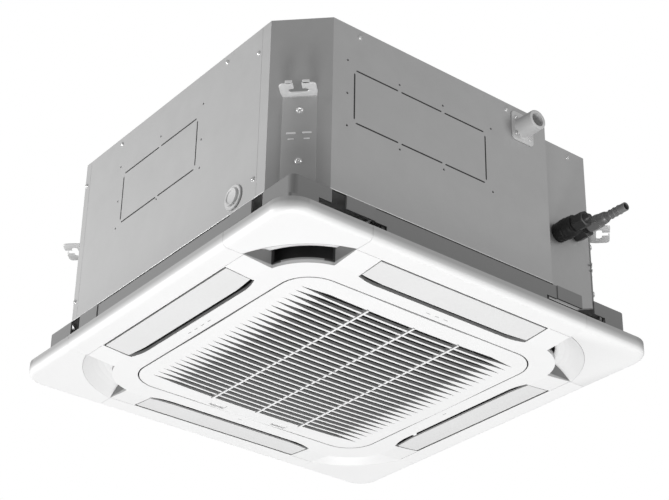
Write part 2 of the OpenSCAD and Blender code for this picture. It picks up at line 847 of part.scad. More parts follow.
module motor_shaft() {
  color("silver") translate([0, 0, casing_z + shaft_low])
    cylinder(r = shaft_r, h = motor_z + shaft_in - shaft_low);
}

fan_nut_af = 19;

module fan_nut() {
  color("silver") translate([0, 0, casing_z + shaft_low]) difference() {
    cylinder(r = fan_nut_af / sqrt(3), h = fan_plate_z - hub_low - shaft_low, $fn = 6);
    translate([0, 0, -cut]) cylinder(r = shaft_r, h = hub_low + 2 * cut);
  }
}

coil_corner = 48;
coil_open = 72;
coil_end = coil_r - coil_open;

coil_skin_t = 1.2;

// Heat exchanger bent around the fan and open at the pipe corner, hollow so that it weighs what its
// thin fins weigh
module coil_fins() {
  color("lightgray") translate([0, 0, casing_z + trough_z]) difference() {
    rounded_ring(coil_r, coil_r - coil_t, coil_corner, coil_corner - coil_t, coil_h);
    translate([0, 0, coil_skin_t])
      rounded_ring(coil_r - coil_skin_t, coil_r - coil_t + coil_skin_t,
      coil_corner - coil_skin_t, coil_corner - coil_t + coil_skin_t, coil_h - 2 * coil_skin_t);
    translate([coil_end, -half, -cut]) cube([half, half - coil_end, coil_h + 2 * cut]);
  }
}

coil_plate_t = 1.5;
coil_plate_over = 2;

module coil_plates() {
  color("silver") translate([0, 0, casing_z + trough_z]) {
    translate([coil_end, -coil_r - coil_plate_over, 0])
      cube([coil_plate_t, coil_t + 2 * coil_plate_over, coil_h]);
    translate([coil_r - coil_t - coil_plate_over, -coil_end - coil_plate_t, 0])
      cube([coil_t + 2 * coil_plate_over, coil_plate_t, coil_h]);
  }
}

tube_r = 3.6;
bend_r = 10.5;
bend_pitch = 26;
bend_first = 18;
bend_count = floor((coil_h - 2 * bend_first) / bend_pitch) + 1;
bend_row_shares = [0.3, 0.7];

// Return bends that stand on the two end plates
module coil_bends() {
  color("peru") translate([0, 0, casing_z + trough_z]) for (i = [0:bend_count - 1])
    for (row = bend_row_shares) {
      translate([coil_r - coil_t * row, -coil_end - coil_plate_t, bend_first + i * bend_pitch])
        rotate([0, 90, 0]) rotate([0, 0, 180]) rotate_extrude(angle = 180) translate([bend_r, 0])
          circle(r = tube_r);
    }
}

header_r = 8;
header_in = 44;
header_up = 10;
header_x = coil_r - header_in;
header_y = header_up - coil_r;
header_low = 40;
header_short = 48;
header_h = coil_h - header_short;
branch_count = 4;
branch_top = 38;
branch_pitch = (header_h - branch_top) / (branch_count - 1);

// Header and connecting pipes between the coil and the two fittings
module header_pipes() {
  color("peru") translate([0, 0, casing_z]) {
    translate([header_x, header_y, header_low]) cylinder(r = header_r, h = header_h);
    for (i = [0:branch_count - 1])
      translate([coil_end + coil_plate_t, header_y, header_low + tube_r + i * branch_pitch + tube_r])
        bar_x(tube_r, header_x - coil_end - coil_plate_t);
    translate([header_x, header_y, gas_z]) bar_x(gas_r, gas_x - header_x);
    translate([gas_x, header_y, gas_z]) sphere(r = gas_r);
    translate([gas_x, header_y, gas_z]) bar_y(gas_r, recess_y + header_y);
    translate([liquid_x, header_y, liquid_z]) bar_y(tube_r, recess_y + header_y);
    translate([header_x, header_y, liquid_z]) bar_x(tube_r, liquid_x - header_x);
    translate([liquid_x, header_y, liquid_z]) sphere(r = tube_r);
  }
}

union_af = 25;
union_l = 22;
flare_af = 19;
flare_l = 33;
flare_from = 27;
pipe_rib_r = 0.5;
pipe_rib_w = 1.6;
pipe_rib_at = 69;
pipe_rib_pitch = 8;
gas_bore_r = 4.8;

// Gas pipe connection: union body, flare nut and the open pipe end
module gas_fitting() {
  color("dimgray") translate([gas_x, -recess_y, casing_z + gas_z]) difference() {
    union() {
      hex_y(union_af, union_l);
      translate([0, -union_l, 0]) bar_y(gas_r + 2 * pipe_rib_r, flare_from - union_l);
      translate([0, -flare_from, 0]) hex_y(flare_af, flare_l);
      translate([0, -flare_from - flare_l, 0]) bar_y(gas_r, gas_reach - flare_from - flare_l);
      for (i = [0:1]) translate([0, -pipe_rib_at - i * pipe_rib_pitch, 0])
        bar_y(gas_r + pipe_rib_r, pipe_rib_w);
    }
    translate([0, cut, 0]) bar_y(gas_bore_r, gas_reach + 2 * cut);
  }
}

liquid_af = 21;
liquid_l = 20;
cone_l = 8;
cone_r = 4;

// Liquid pipe connection: flare nut and its end cap behind the insulating sleeve
module liquid_fitting() {
  color("black") translate([liquid_x, -recess_y - sleeve_l, casing_z + liquid_z]) {
    hex_y(liquid_af, liquid_l);
    translate([0, -liquid_l, 0]) rotate([90, 0, 0])
      cylinder(r1 = cone_r + tube_r, r2 = cone_r, h = cone_l);
  }
}

// Black sleeve around the liquid pipe
module pipe_sleeve() {
  color("black") translate([liquid_x, -recess_y, casing_z + liquid_z]) bar_y(sleeve_r, sleeve_l);
}

pump_in = 40;
pump_up = 42;
pump_x = coil_r - pump_in;
pump_y = pump_up - coil_r;
pump_r = 18;
pump_z = 104;
pump_h = 84;
pump_foot_r = 13;
pump_neck_r = 8;

// Drain pump standing in the trough at the pipe corner
module drain_pump() {
  color("white") translate([pump_x, pump_y, casing_z]) {
    translate([0, 0, trough_z]) cylinder(r = pump_foot_r, h = pump_foot_r);
    translate([0, 0, trough_z + pump_foot_r])
      cylinder(r = pump_neck_r, h = pump_z - trough_z - pump_foot_r);
    translate([0, 0, pump_z]) cylinder(r = pump_r, h = pump_h);
  }
}

hose_r = 8;
hose_in = 50;
hose_y = hose_in - half;
hose_elbow_z = 196;

// Hose from the drain pump up to the outlet
module drain_hose() {
  color("gray") translate([0, 0, casing_z]) {
    translate([pump_x, pump_y, pump_z + pump_h]) cylinder(r = hose_r, h = drain_z - pump_z - pump_h);
    translate([pump_x, pump_y, drain_z]) sphere(r = hose_r);
    translate([pump_x, pump_y, drain_z]) bar_y(hose_r, pump_y - hose_y);
    translate([pump_x, hose_y, drain_z]) sphere(r = hose_r);
    translate([drain_x, hose_y, drain_z]) bar_x(hose_r, pump_x - drain_x);
    translate([drain_x, hose_y, drain_z]) sphere(r = hose_r);
    translate([drain_x, hose_y, drain_z]) bar_y(hose_r, half + hose_y - sheet_t);
  }
}

float_off = [27, 4];
float_x = pump_x + float_off[0];
float_y = pump_y + float_off[1];
float_r = 9;
float_h = 14;
stem_r = 2.5;
stem_low = 22;
stem_top = 74;
float_z = 24;
float_arm_t = 4;

// Stem and arm of the float switch, carried by the pump
module float_stem() {
  color("lightgray") translate([0, 0, casing_z]) {
    translate([float_x, float_y, stem_low]) cylinder(r = stem_r, h = stem_top - stem_low);
    translate([pump_x, pump_y, stem_top]) rotate([0, 0, atan2(float_y - pump_y, float_x - pump_x)])
      translate([pump_neck_r, -stem_r, 0])
        cube([norm([float_x - pump_x, float_y - pump_y]), 2 * stem_r, float_arm_t]);
  }
}

module float_ring() {
  color("orange") translate([float_x, float_y, casing_z + float_z]) difference() {
    cylinder(r = float_r, h = float_h);
    translate([0, 0, -cut]) cylinder(r = stem_r + pin_play, h = float_h + 2 * cut);
  }
}

outlet_w = 40;
outlet_h = 46;
outlet_t = 2.5;
outlet_hole_d = 26.5;
outlet_screw_r = 3;
outlet_corner_r = 6;
outlet_hole_r = 2;
stub_foot = 2;

// Stub pipe of the drain outlet, with a foot that fills the hole of its flange
module drain_stub() {
  color("lightgray") translate([drain_x, -half, casing_z + drain_z]) difference() {
    union() {
      bar_y(drain_r + stub_foot, outlet_t);
      bar_y(drain_r, drain_l);
    }
    translate([0, cut, 0]) bar_y(drain_bore_r, drain_l + 2 * cut);
  }
}

// Flange of the drain outlet with four screw holes, around the stub
module drain_outlet() {
  color("lightgray") translate([drain_x, -half, casing_z + drain_z]) difference() {
    rotate([90, 0, 0]) rounded_block(outlet_w / 2, outlet_h / 2, outlet_corner_r, outlet_t);
    translate([0, cut, 0]) bar_y(drain_r + stub_foot + seat, outlet_t + 2 * cut);
    for (sx = [-1, 1]) for (sz = [-1, 1])
      translate([sx * outlet_hole_d / 2, cut, sz * outlet_hole_d / 2])
        bar_y(outlet_hole_r, outlet_t + 2 * cut);
  }
}

module outlet_screws() {
  color("white") for (sx = [-1, 1]) for (sz = [-1, 1])
    translate([drain_x + sx * outlet_hole_d / 2, -half - outlet_t,
      casing_z + drain_z + sz * outlet_hole_d / 2])
      rotate([90, 0, 0]) screw_head(outlet_screw_r);
}

cap_flange_t = 2.5;
cap_step_r = 12.5;
cap_step_t = 3;
cap_dish_r = 9;
cap_dish_t = 1.5;
cap_plug_l = 8;

// Stepped cap of the drain test hole
module test_cap() {
  color("gainsboro") on_left(cap_y, casing_z + cap_z) rotate_extrude() polygon([
    [0, -cap_plug_l], [cap_hole_r - slack, -cap_plug_l], [cap_hole_r - slack, slack / 3],
    [cap_r, slack / 3], [cap_r, cap_flange_t], [cap_step_r, cap_flange_t],
      [cap_step_r, cap_flange_t + cap_step_t],
    [cap_dish_r, cap_flange_t + cap_step_t], [cap_dish_r, cap_flange_t + cap_step_t - cap_dish_t],
    [0, cap_flange_t + cap_step_t - cap_dish_t]]);
}

// Wavy outline of the centre frame as a solid of height h, set in by k
blend_a_in = 51.4;
blend_b_in = 39;
blend_c_in = 28.3;
blend_a = lobe_c - blend_a_in;
blend_b = lobe_c - blend_b_in;
blend_c = lobe_c - blend_c_in;
blend_b_out = 1.6;
blend_c_out = 4.6;

module lobe_block(k, h) {
  r = centre_r - k;
  rounded_block(r, r, lobe_r, h);
  for (sx = [-1, 1]) for (sy = [-1, 1])
    translate([sx * lobe_c, sy * lobe_c, 0]) cylinder(r = lobe_r - k, h = h);
  quarter() for (s = [-1, 1]) scale([1, s, 1])
    linear_extrude(h) polygon([
      [r - wall_t, blend_a], [r, blend_a], [r + blend_b_out, blend_b],
      [r + blend_c_out, blend_c], [lobe_c, blend_c]]);
}

edge_steps = 6;

// Section of the outer edge, measured outwards from the corner's centre and up from the face
function edge_section(from) = concat(
  [[from, 0]],
  arc([panel_corner_r - lip_round, lip_round], lip_round, 270, 360, edge_steps),
  [[panel_corner_r, lip_h], [panel_corner_r - panel_t, lip_h]],
  arc([panel_corner_r - lip_round, lip_round], lip_round - panel_t, 360, 270, edge_steps),
  [[from, panel_t]]);

// Straight piece of the outer edge on the plus X side, from y0 to y1
module edge_strip(from, y0, y1) {
  translate([corner_c, y1, 0]) rotate([90, 0, 0]) linear_extrude(y1 - y0) polygon(edge_section(from));
}

bowl_in_r = 106.5;
bowl_steps = 6;
bowl_lip = 4.8;
bowl_t = 2.4;
bowl_back = 1;

function bowl_curve(lift) = [for (i = [0:bowl_steps])
  let (f = i / bowl_steps)
  [vent_r - (vent_r - bowl_in_r) * f, lift + vent_depth * sin(90 * f)]];

// Curved roof of a corner vent, turned about the vent's centre
module bowl() {
  translate([slot_half, slot_half, 0]) rotate_extrude() polygon(concat(
    bowl_curve(0),
    [[bowl_in_r, vent_depth + bowl_t]],
    [for (i = [bowl_steps - 1:-1:1]) bowl_curve(bowl_t)[i] + [bowl_back, bowl_back]],
    [[vent_r - bowl_back / 2, deck_z + deck_t], [vent_r + bowl_lip, deck_z + deck_t],
      [vent_r + bowl_lip, deck_z],
     [vent_r, deck_z]]));
}

spoke_over = 5.8;
slope_over = 11.8;
spoke_in = centre_r + spoke_over;
slope_end = centre_r + slope_over;
duct_inner_r = centre_r - duct_in;

// Spoke plate between the outer frame and the centre frame, with its two end walls
module spoke() {
  w = [[slot_r + wall_t, 0], [slot_r, 0], [slope_end, -centre_drop], [spoke_in, -centre_drop]];
  translate([0, seam_half, 0]) rotate([90, 0, 0])
    linear_extrude(seam_half - slot_half)
      polygon(concat(w, [[spoke_in, panel_t - centre_drop], [slope_end, panel_t - centre_drop],
        [slot_r, panel_t],
        [slot_r + wall_t, panel_t]]));
  for (y = [slot_half + wall_t, seam_half])
    translate([0, y, 0]) rotate([90, 0, 0]) linear_extrude(wall_t)
      polygon(concat(w, [[spoke_in, end_wall_h], [slot_r + wall_t, end_wall_h]]));
}

groove_w = 0.7;
groove_d = 0.5;

module mark_row(n, shift) {
  for (i = [0:n - 1])
    translate([-mark_r - mark_w / 2, shift + (i - (n - 1) / 2) * mark_pitch - mark_l / 2,
      -centre_drop - cut])
      cube([mark_w, mark_l, mark_depth + cut]);
}

marks_left = 4;
marks_front = 3;
mark_shift_left = 7.5;
mark_shift_front = -5;

module all_marks() {
  mark_row(marks_left, mark_shift_left);
  rotate([0, 0, 90]) mark_row(marks_front, mark_shift_front);
  rotate([0, 0, 180]) mark_row(1, -mark_shift_left);
  rotate([0, 0, 270]) mark_row(1, 0);
}

outer_rib_in = 26;
outer_rib_r = panel_r - outer_rib_in;
outer_rib_corner = 10;

// Main moulding of the panel: outer frame, spokes, corner vents, ducts and centre frame
module panel_frame() {
  color("white") translate([0, 0, face_z]) difference() {
    union() {
      quarter() edge_strip(slot_r - corner_c, -seam_half, seam_half);
      quarter() for (s = [-1, 1]) scale([1, s, 1]) spoke();
      quarter() translate([slot_r, -slot_half - wall_t, 0])
        cube([wall_t, slot_len + 2 * wall_t, duct_top - wall_t]);
      quarter() intersection() {
        bowl();
        translate([seam_half - wall_t, seam_half - wall_t, 0])
          cube([outer_rib_r - seam_half, outer_rib_r - seam_half, vent_depth + bowl_t]);
      }
      quarter() difference() {
        translate([seam_half - wall_t, seam_half - wall_t, deck_z])
          cube([outer_rib_r - seam_half, outer_rib_r - seam_half, deck_t]);
        translate([slot_half, slot_half, deck_z - cut])
          cylinder(r = vent_r + bowl_lip / 2, h = deck_t + 2 * cut);
      }
      translate([0, 0, deck_z])
        rounded_ring(outer_rib_r, outer_rib_r - rib_t, outer_rib_corner, outer_rib_corner - rib_t,
        flange_z - deck_z);
      quarter() translate([outer_rib_r - rib_t, -seam_half, 0]) cube([rib_t, 2 * seam_half, flange_z]);
      quarter() translate([fixing_at, fixing_at, deck_z]) cylinder(r = boss_r, h = boss_h + deck_t);
      difference() {
        translate([0, 0, -centre_drop]) lobe_block(0, rim_wall_h);
        translate([0, 0, panel_t + slack - centre_drop]) lobe_block(wall_t, rim_wall_h);
      }
      translate([0, 0, -cut]) rounded_ring(duct_inner_r + wall_t, duct_inner_r, inner_wall_corner_r,
        inner_wall_corner_r - wall_t, duct_top + cut);
    }
    translate([0, 0, -centre_drop - cut]) rounded_block(grille_r + grille_gap, grille_r + grille_gap,
      grille_corner_r + grille_gap, through);
    quarter() translate([fixing_at, fixing_at, deck_z - cut]) cylinder(r = boss_bore_r, h = boss_h + cut);
    quarter() translate([fixing_at, fixing_at, deck_z])
      cylinder(r = fixing_r + 2 * pin_play, h = through);
    quarter() for (p = [[peg_a, peg_b], [peg_b, peg_a]])
      translate([p[0], p[1], deck_z - cut]) cylinder(r = cover_peg_r + pin_play, h = deck_t + 2 * cut);
    quarter() for (s = [-1, 1]) translate([flap_axis_r, s * slot_half, flap_pivot_z])
      rotate([s * 90, 0, 0]) translate([0, 0, -wall_t - cut])
        cylinder(r = pin_r + pin_play, h = 2 * wall_t + 2 * cut);
    for (s = [-1, 1]) translate([s * duct_inner_r - 2 * wall_t, hinge_y, hinge_z])
      bar_x(pin_r + pin_play, 4 * wall_t);
    quarter() for (s = [-1, 1]) scale([1, s, 1])
      translate([slot_r, slot_half + wall_t, -cut])
        cube([groove_w, seam_half - slot_half - wall_t, groove_d + cut]);
    all_marks();
  }
}

module indicator_marks() {
  color("gray") translate([0, 0, face_z]) difference() {
    all_marks();
    translate([-half, -half, -centre_drop - 2 * cut]) cube([casing_w, casing_w, 2 * cut]);
  }
}

// One corner cover, in the plus X and plus Y corner
module corner_cover() {
  from = seam_half + slack;
  difference() {
    union() {
      translate([corner_c, corner_c, 0]) rotate_extrude(angle = 90) polygon(edge_section(0));
      edge_strip(0, from, corner_c);
      mirror([1, -1, 0]) edge_strip(0, from, corner_c);
      translate([from, from, 0]) cube([corner_c - from, corner_c - from, panel_t]);
      for (p = [[peg_a, peg_b], [peg_b, peg_a]])
        translate([p[0], p[1], panel_t]) cylinder(r = cover_peg_r, h = cover_peg_l);
    }
    translate([slot_half, slot_half, -cut]) cylinder(r = vent_r + slack, h = panel_t + cut + slack);
  }
}

module cover_at(a) {
  color("white") translate([0, 0, face_z]) rotate([0, 0, a]) corner_cover();
}

module corner_cover_far() {
  cover_at(0);
}

module corner_cover_left() {
  cover_at(90);
}

module corner_cover_near() {
  cover_at(180);
}

module corner_cover_right() {
  cover_at(270);
}

collar_r = panel_r - collar_in;
collar_mid_r = collar_r - collar_step;
collar_mid_l = 2 * (collar_r - collar_end_l);
collar_slot_to = collar_r - collar_slot_in;
window_x = collar_r - window_in;
collar_corner_r = 9;
flange_corner_r = 4;
flange_r = panel_r - flange_in;
flange_lap = 2;
flange_in_r = collar_mid_r - flange_lap;

// Collar between the panel and the casing, with corner windows, long slots and a flange
module panel_collar() {
  color("gray") translate([0, 0, face_z]) {
    translate([0, 0, flange_z]) difference() {
      rounded_block(flange_r, flange_r, flange_corner_r, flange_t);
      translate([-flange_in_r, -flange_in_r, -cut])
        cube([2 * flange_in_r, 2 * flange_in_r, flange_t + 2 * cut]);
    }
    difference() {
      union() {
        difference() {
          translate([0, 0, flange_z]) rounded_ring(collar_r, collar_r - collar_t, collar_corner_r,
            collar_corner_r - collar_t, panel_h - flange_z);
          quarter() translate([collar_r - 2 * collar_t, -collar_mid_l / 2, flange_z - cut])
            cube([3 * collar_t, collar_mid_l, panel_h]);
        }
        quarter() translate([collar_mid_r - collar_t, -collar_mid_l / 2, flange_z])
          cube([collar_t, collar_mid_l, panel_h - flange_z]);
      }
      quarter() for (s = [-1, 1]) scale([1, s, 1]) {
        translate([collar_mid_r - 2 * collar_t, collar_slot_to - collar_slot_l, flange_z + flange_t])
          cube([4 * collar_t, collar_slot_l, collar_slot_h]);
        translate([collar_mid_r - 2 * collar_t, window_x - window_w / 2, flange_z + flange_t])
          cube([4 * collar_t, window_w, panel_h]);
      }
    }
  }
}

seal_w = 6.5;

// Foam ring between the panel's intake duct and the casing
module duct_seal() {
  color("dimgray") translate([0, 0, face_z + duct_top])
    rounded_ring(duct_inner_r + seal_w / 2, duct_inner_r - seal_w / 2, inner_wall_corner_r,
      inner_wall_corner_r - seal_w, panel_h + base_t - duct_top);
}

// Foam strips above the outer walls of the four air slots
module slot_seals() {
  color("dimgray") translate([0, 0, face_z]) quarter()
    translate([slot_r, -slot_half - wall_t, duct_top - wall_t])
      cube([wall_t, slot_len + 2 * wall_t, panel_h - duct_top + wall_t]);
}

screw_top = 73;

// Four screws that hold the panel, with the nuts on the casing's tabs
module panel_screws() {
  color("silver") translate([0, 0, face_z]) quarter() translate([fixing_at, fixing_at, 0]) {
    translate([0, 0, deck_z + boss_h - head_h]) cylinder(r = head_r, h = head_h);
    translate([0, 0, deck_z + boss_h]) cylinder(r = fixing_r, h = screw_top - deck_z - boss_h);
    translate([0, 0, panel_h + base_t]) cylinder(r = nut_af / sqrt(3), h = nut_h, $fn = 6);
  }
}

flap_inner = slot_r - flap_gap - flap_w;
flap_half = slot_half - flap_end_gap;
flap_bend_in = 35.5;
flap_bend = flap_half - flap_bend_in;
flap_curve = 3.6;
flap_curve_share = 0.42;
flap_drop = 3.1;
flap_arm_t = 2;
flap_arm_r = 5;
flap_crown = 0.3;

// One flap in the plus X slot
module flap() {
  r_out = slot_r - flap_gap;
  intersection() {
    translate([0, flap_half, 0]) rotate([90, 0, 0]) linear_extrude(2 * flap_half) polygon([
      [r_out, 0], [(r_out + flap_inner) / 2, -flap_drop / 2 - flap_crown], [flap_inner, -flap_drop],
      [flap_inner, flap_t - flap_drop], [(r_out + flap_inner) / 2, flap_t - flap_drop / 2 - flap_crown],
        [r_out, flap_t]]);
    translate([0, 0, -through / 2]) linear_extrude(through) polygon([
      [r_out, -flap_half], [r_out, flap_half], [flap_inner + flap_curve, flap_half],
      [flap_inner + flap_curve * flap_curve_share, (flap_half + flap_bend) / 2], [flap_inner, flap_bend],
      [flap_inner, -flap_bend],
        [flap_inner + flap_curve * flap_curve_share, -(flap_half + flap_bend) / 2],
      [flap_inner + flap_curve, -flap_half]]);
  }
  for (s = [-1, 1]) {
    translate([0, s * flap_half + (s > 0 ? 0 : flap_arm_t), 0]) rotate([90, 0, 0])
      linear_extrude(flap_arm_t) polygon([
      [flap_axis_r - 2 * flap_arm_r, flap_t / 2 - flap_drop / 2],
        [flap_axis_r + 2 * flap_arm_r, flap_t / 2 - flap_drop / 2],
      [flap_axis_r + flap_arm_r / 2, flap_pivot_z + flap_arm_r / 2],
        [flap_axis_r - flap_arm_r / 2, flap_pivot_z + flap_arm_r / 2]]);
    translate([flap_axis_r, s * (flap_half - flap_arm_t), flap_pivot_z]) rotate([-s * 90, 0, 0])
      cylinder(r = pin_r, h = flap_arm_t + flap_end_gap + wall_t - slack);
  }
}

module flap_at(a) {
  color("whitesmoke") translate([0, 0, face_z]) rotate([0, 0, a]) flap();
}

module flap_right() {
  flap_at(0);
}

module flap_back() {
  flap_at(90);
}

module flap_left() {
  flap_at(180);
}

module flap_front() {
  flap_at(270);
}

stepper_r = 10;
stepper_l = 14;
stepper_offset = 8;

// Stepper motors, one behind a spoke at the end of each flap
module flap_motors() {
  color("silver") translate([0, 0, face_z]) quarter()
    translate([flap_axis_r, slot_half + wall_t, flap_pivot_z + stepper_offset]) rotate([-90, 0, 0])
      cylinder(r = stepper_r, h = stepper_l);
}

dome_steps = 8;
grille_top = 1;
rib_recess = 0.7;
button_l = 7;
button_slack = 0.4;
button_in = 16.2;
button_y = grille_r - button_in;

function dome_z(r) = r >= bulge_r ? 0 : -grille_bulge * (1 - (r / bulge_r) * (r / bulge_r));

module air_slot() {
  linear_extrude(through) polygon([
    [-air_slot_l / 2, 0], [-air_slot_full / 2, -air_slot_w / 2], [air_slot_full / 2, -air_slot_w / 2],
    [air_slot_l / 2, 0], [air_slot_full / 2, air_slot_w / 2], [-air_slot_full / 2, air_slot_w / 2]]);
}

grille_proud = 0.2;

// Intake grille with a bulging face, pointed air slots and cross ribs
module intake_grille() {
  base = centre_drop + grille_proud;
  color("white") translate([0, 0, face_z]) {
    difference() {
      intersection() {
        translate([0, 0, -through / 2]) rounded_block(grille_r, grille_r, grille_corner_r, through);
        rotate_extrude() polygon(concat(
          [for (i = [0:dome_steps]) [bulge_r * i / dome_steps, dome_z(bulge_r * i / dome_steps) - base]],
          [[centre_r + bulge_r, -base], [centre_r + bulge_r, -grille_top], [0, -grille_top]]));
      }
      for (i = [-(grille_slots - 1) / 2:(grille_slots - 1) / 2])
        translate([0, i * slot_pitch, -through / 2]) air_slot();
      for (s = [-1, 1]) translate([s * latch_span / 2 - latch_w / 2 - button_slack,
        button_y - button_slack, -through / 2])
        cube([latch_w + 2 * button_slack, button_l + latch_travel + 2 * button_slack, through]);
    }
    for (i = [-1:1])
      translate([i * rib_pitch - rib_w / 2, -grille_slots * slot_pitch / 2,
        dome_z(rib_pitch) - base + 2 * rib_recess])
        cube([rib_w, grille_slots * slot_pitch, base - dome_z(rib_pitch) - 2 * rib_recess - grille_top]);
  }
}

hinge_lug_l = 16;
hinge_lug_w = 6;
hinge_lug_in = 19.2;

// Two lugs on the grille with pins that turn in the walls of the intake duct
module grille_hinges() {
  lug_x = grille_r - hinge_lug_in;
  color("white") translate([0, 0, face_z]) for (s = [0, 1]) mirror([s, 0, 0]) {
    translate([lug_x, hinge_y - hinge_lug_w / 2, -grille_top])
      cube([hinge_lug_l, hinge_lug_w, grille_top + hinge_z + pin_r]);
    translate([lug_x + hinge_lug_l, hinge_y, hinge_z])
      bar_x(pin_r, duct_inner_r + wall_t - slack - lug_x - hinge_lug_l);
  }
}

latch_plate_l = 17;
latch_plate_t = 2.2;
tongue_t = 1.8;
tongue_l = 5.5;
button_show = 4.4;

// One latch: a button in the grille's window and a tongue that slides over the centre frame
module latch(s) {
  color("white") translate([s * latch_span / 2 - latch_w / 2, button_y, face_z]) {
    translate([0, 0, -button_show]) cube([latch_w, button_l, button_show]);
    translate([-button_slack * 5, 0, slack - grille_top])
      cube([latch_w + 10 * button_slack, button_l, latch_plate_t]);
    translate([0, 0, slack / 2]) cube([latch_w, latch_plate_l, tongue_t]);
  }
}

module latch_left() {
  latch(-1);
}

module latch_right() {
  latch(1);
}

filter_in = 25.2;
filter_w = 2 * (grille_r - filter_in);
filter_h = 5;
filter_bar = 8;
filter_ribs = 3;
filter_z = 0.6;
net_t = 0.8;

// Frame of the air filter that lies on the grille
module filter_frame() {
  color("gray") translate([0, 0, face_z - filter_z]) {
    difference() {
      translate([-filter_w / 2, -filter_w / 2, 0]) cube([filter_w, filter_w, filter_h]);
      translate([-filter_w / 2 + filter_bar, -filter_w / 2 + filter_bar, -cut])
        cube([filter_w - 2 * filter_bar, filter_w - 2 * filter_bar, filter_h + 2 * cut]);
    }
    for (i = [1:filter_ribs]) {
      translate([-filter_w / 2 + i * filter_w / (filter_ribs + 1) - net_t,
        -filter_w / 2 + filter_bar / 2, net_t])
        cube([2 * net_t, filter_w - filter_bar, filter_h - net_t]);
      translate([-filter_w / 2 + filter_bar / 2,
        -filter_w / 2 + i * filter_w / (filter_ribs + 1) - net_t, net_t])
        cube([filter_w - filter_bar, 2 * net_t, filter_h - net_t]);
    }
  }
}

module filter_net() {
  color("black") translate([-filter_w / 2 + filter_bar, -filter_w / 2 + filter_bar, face_z - filter_z])
    cube([filter_w - 2 * filter_bar, filter_w - 2 * filter_bar, net_t]);
}

box_end_in = 68.7;
box_depth = 96.7;
box_l = 2 * (duct_inner_r - box_end_in);
box_from = duct_inner_r - box_depth;
box_low = 24;
box_top = 60;
box_wall = 1.5;
lid_t = 2;
lid_over = 3;

// Control box on the back side of the intake, open below
module control_box() {
  color("silver") translate([-box_l / 2, box_from, face_z + box_low]) difference() {
    cube([box_l, duct_inner_r - box_from, box_top - box_low]);
    translate([box_wall, box_wall, -cut])
      cube([box_l - 2 * box_wall, duct_inner_r - box_from - 2 * box_wall,
        box_top - box_low - box_wall + cut]);
  }
}

module control_lid() {
  color("lightgray") translate([-box_l / 2 - lid_over, box_from - lid_over, face_z + box_low - lid_t])
    cube([box_l + 2 * lid_over, duct_inner_r - box_from + lid_over, lid_t]);
}

board_short = 120;
board_l = box_l - board_short;
board_d = 76;
board_rise = 24;
post_r = 3;
chip_h = 9;

// Circuit board on four posts with its main components
module circuit_board() {
  color("green") translate([-box_l / 2 + 8 * box_wall, box_from + 4 * box_wall,
    face_z + box_low + board_rise]) {
    cube([board_l, board_d, board_t]);
    for (x = [2 * post_r, board_l - 2 * post_r]) for (y = [2 * post_r, board_d - 2 * post_r])
      translate([x, y, board_t])
        cylinder(r = post_r, h = box_top - box_low - board_rise - board_t - box_wall);
    translate([board_l / 6, board_d / 4, -2 * chip_h]) cube([3 * chip_h, 3 * chip_h, 2 * chip_h]);
    translate([board_l / 2, board_d / 3, -chip_h]) cube([4 * chip_h, 2 * chip_h, chip_h]);
    for (i = [0:2]) translate([board_l - 3 * chip_h, board_d / 5 + 2 * i * chip_h, -chip_h])
      cylinder(r = chip_h / 2, h = chip_h);
  }
}

term_l = 56;
term_d = 26;
term_h = 20;
term_poles = 5;
term_screw_r = 3;

// Terminal block for the mains and signal wires
module terminal_block() {
  color("black")
    translate([box_l / 2 - term_l - 8 * box_wall, box_from + 10 * box_wall,
      face_z + box_top - box_wall - term_h])
    difference() {
      cube([term_l, term_d, term_h]);
      for (i = [0:term_poles - 1])
        translate([(i + 1) * term_l / (term_poles + 1), term_d / 2, -cut])
          cylinder(r = term_screw_r, h = term_h / 2 + cut);
    }
}

side_front();
side_left();
side_right();
side_back();
top_sheet();
top_rim();
base_ring();
hanger_brackets();
casing_screws();
foam_lining();
drain_pan();
pan_rim();
bell_mouth();
fan_motor();
motor_bushes();
fan_hub();
fan_blades();
fan_shroud();
motor_shaft();
fan_nut();
coil_fins();
coil_plates();
coil_bends();
header_pipes();
gas_fitting();
liquid_fitting();
pipe_sleeve();
drain_pump();
drain_hose();
float_stem();
float_ring();
drain_outlet();
drain_stub();
outlet_screws();
test_cap();
control_box();
control_lid();
circuit_board();
terminal_block();
panel_frame();
indicator_marks();
corner_cover_near();
corner_cover_left();
corner_cover_right();
corner_cover_far();
panel_collar();
duct_seal();
slot_seals();
panel_screws();
flap_left();
flap_front();
flap_right();
flap_back();
flap_motors();
intake_grille();
grille_hinges();
latch_left();
latch_right();
filter_frame();
filter_net();
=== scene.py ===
# %% [markdown]
# A ceiling cassette is the square air conditioner that hides above a suspended ceiling.
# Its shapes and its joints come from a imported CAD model, which is loaded here as a fixed frame.
# Nothing of the frame is moved: this lesson finishes its surfaces and adds the small pieces
# that a photograph shows, each riding on the body that carries it.

# %% Load the frame
import json
import math

import bmesh
import bpy
from mathutils import Matrix, Vector

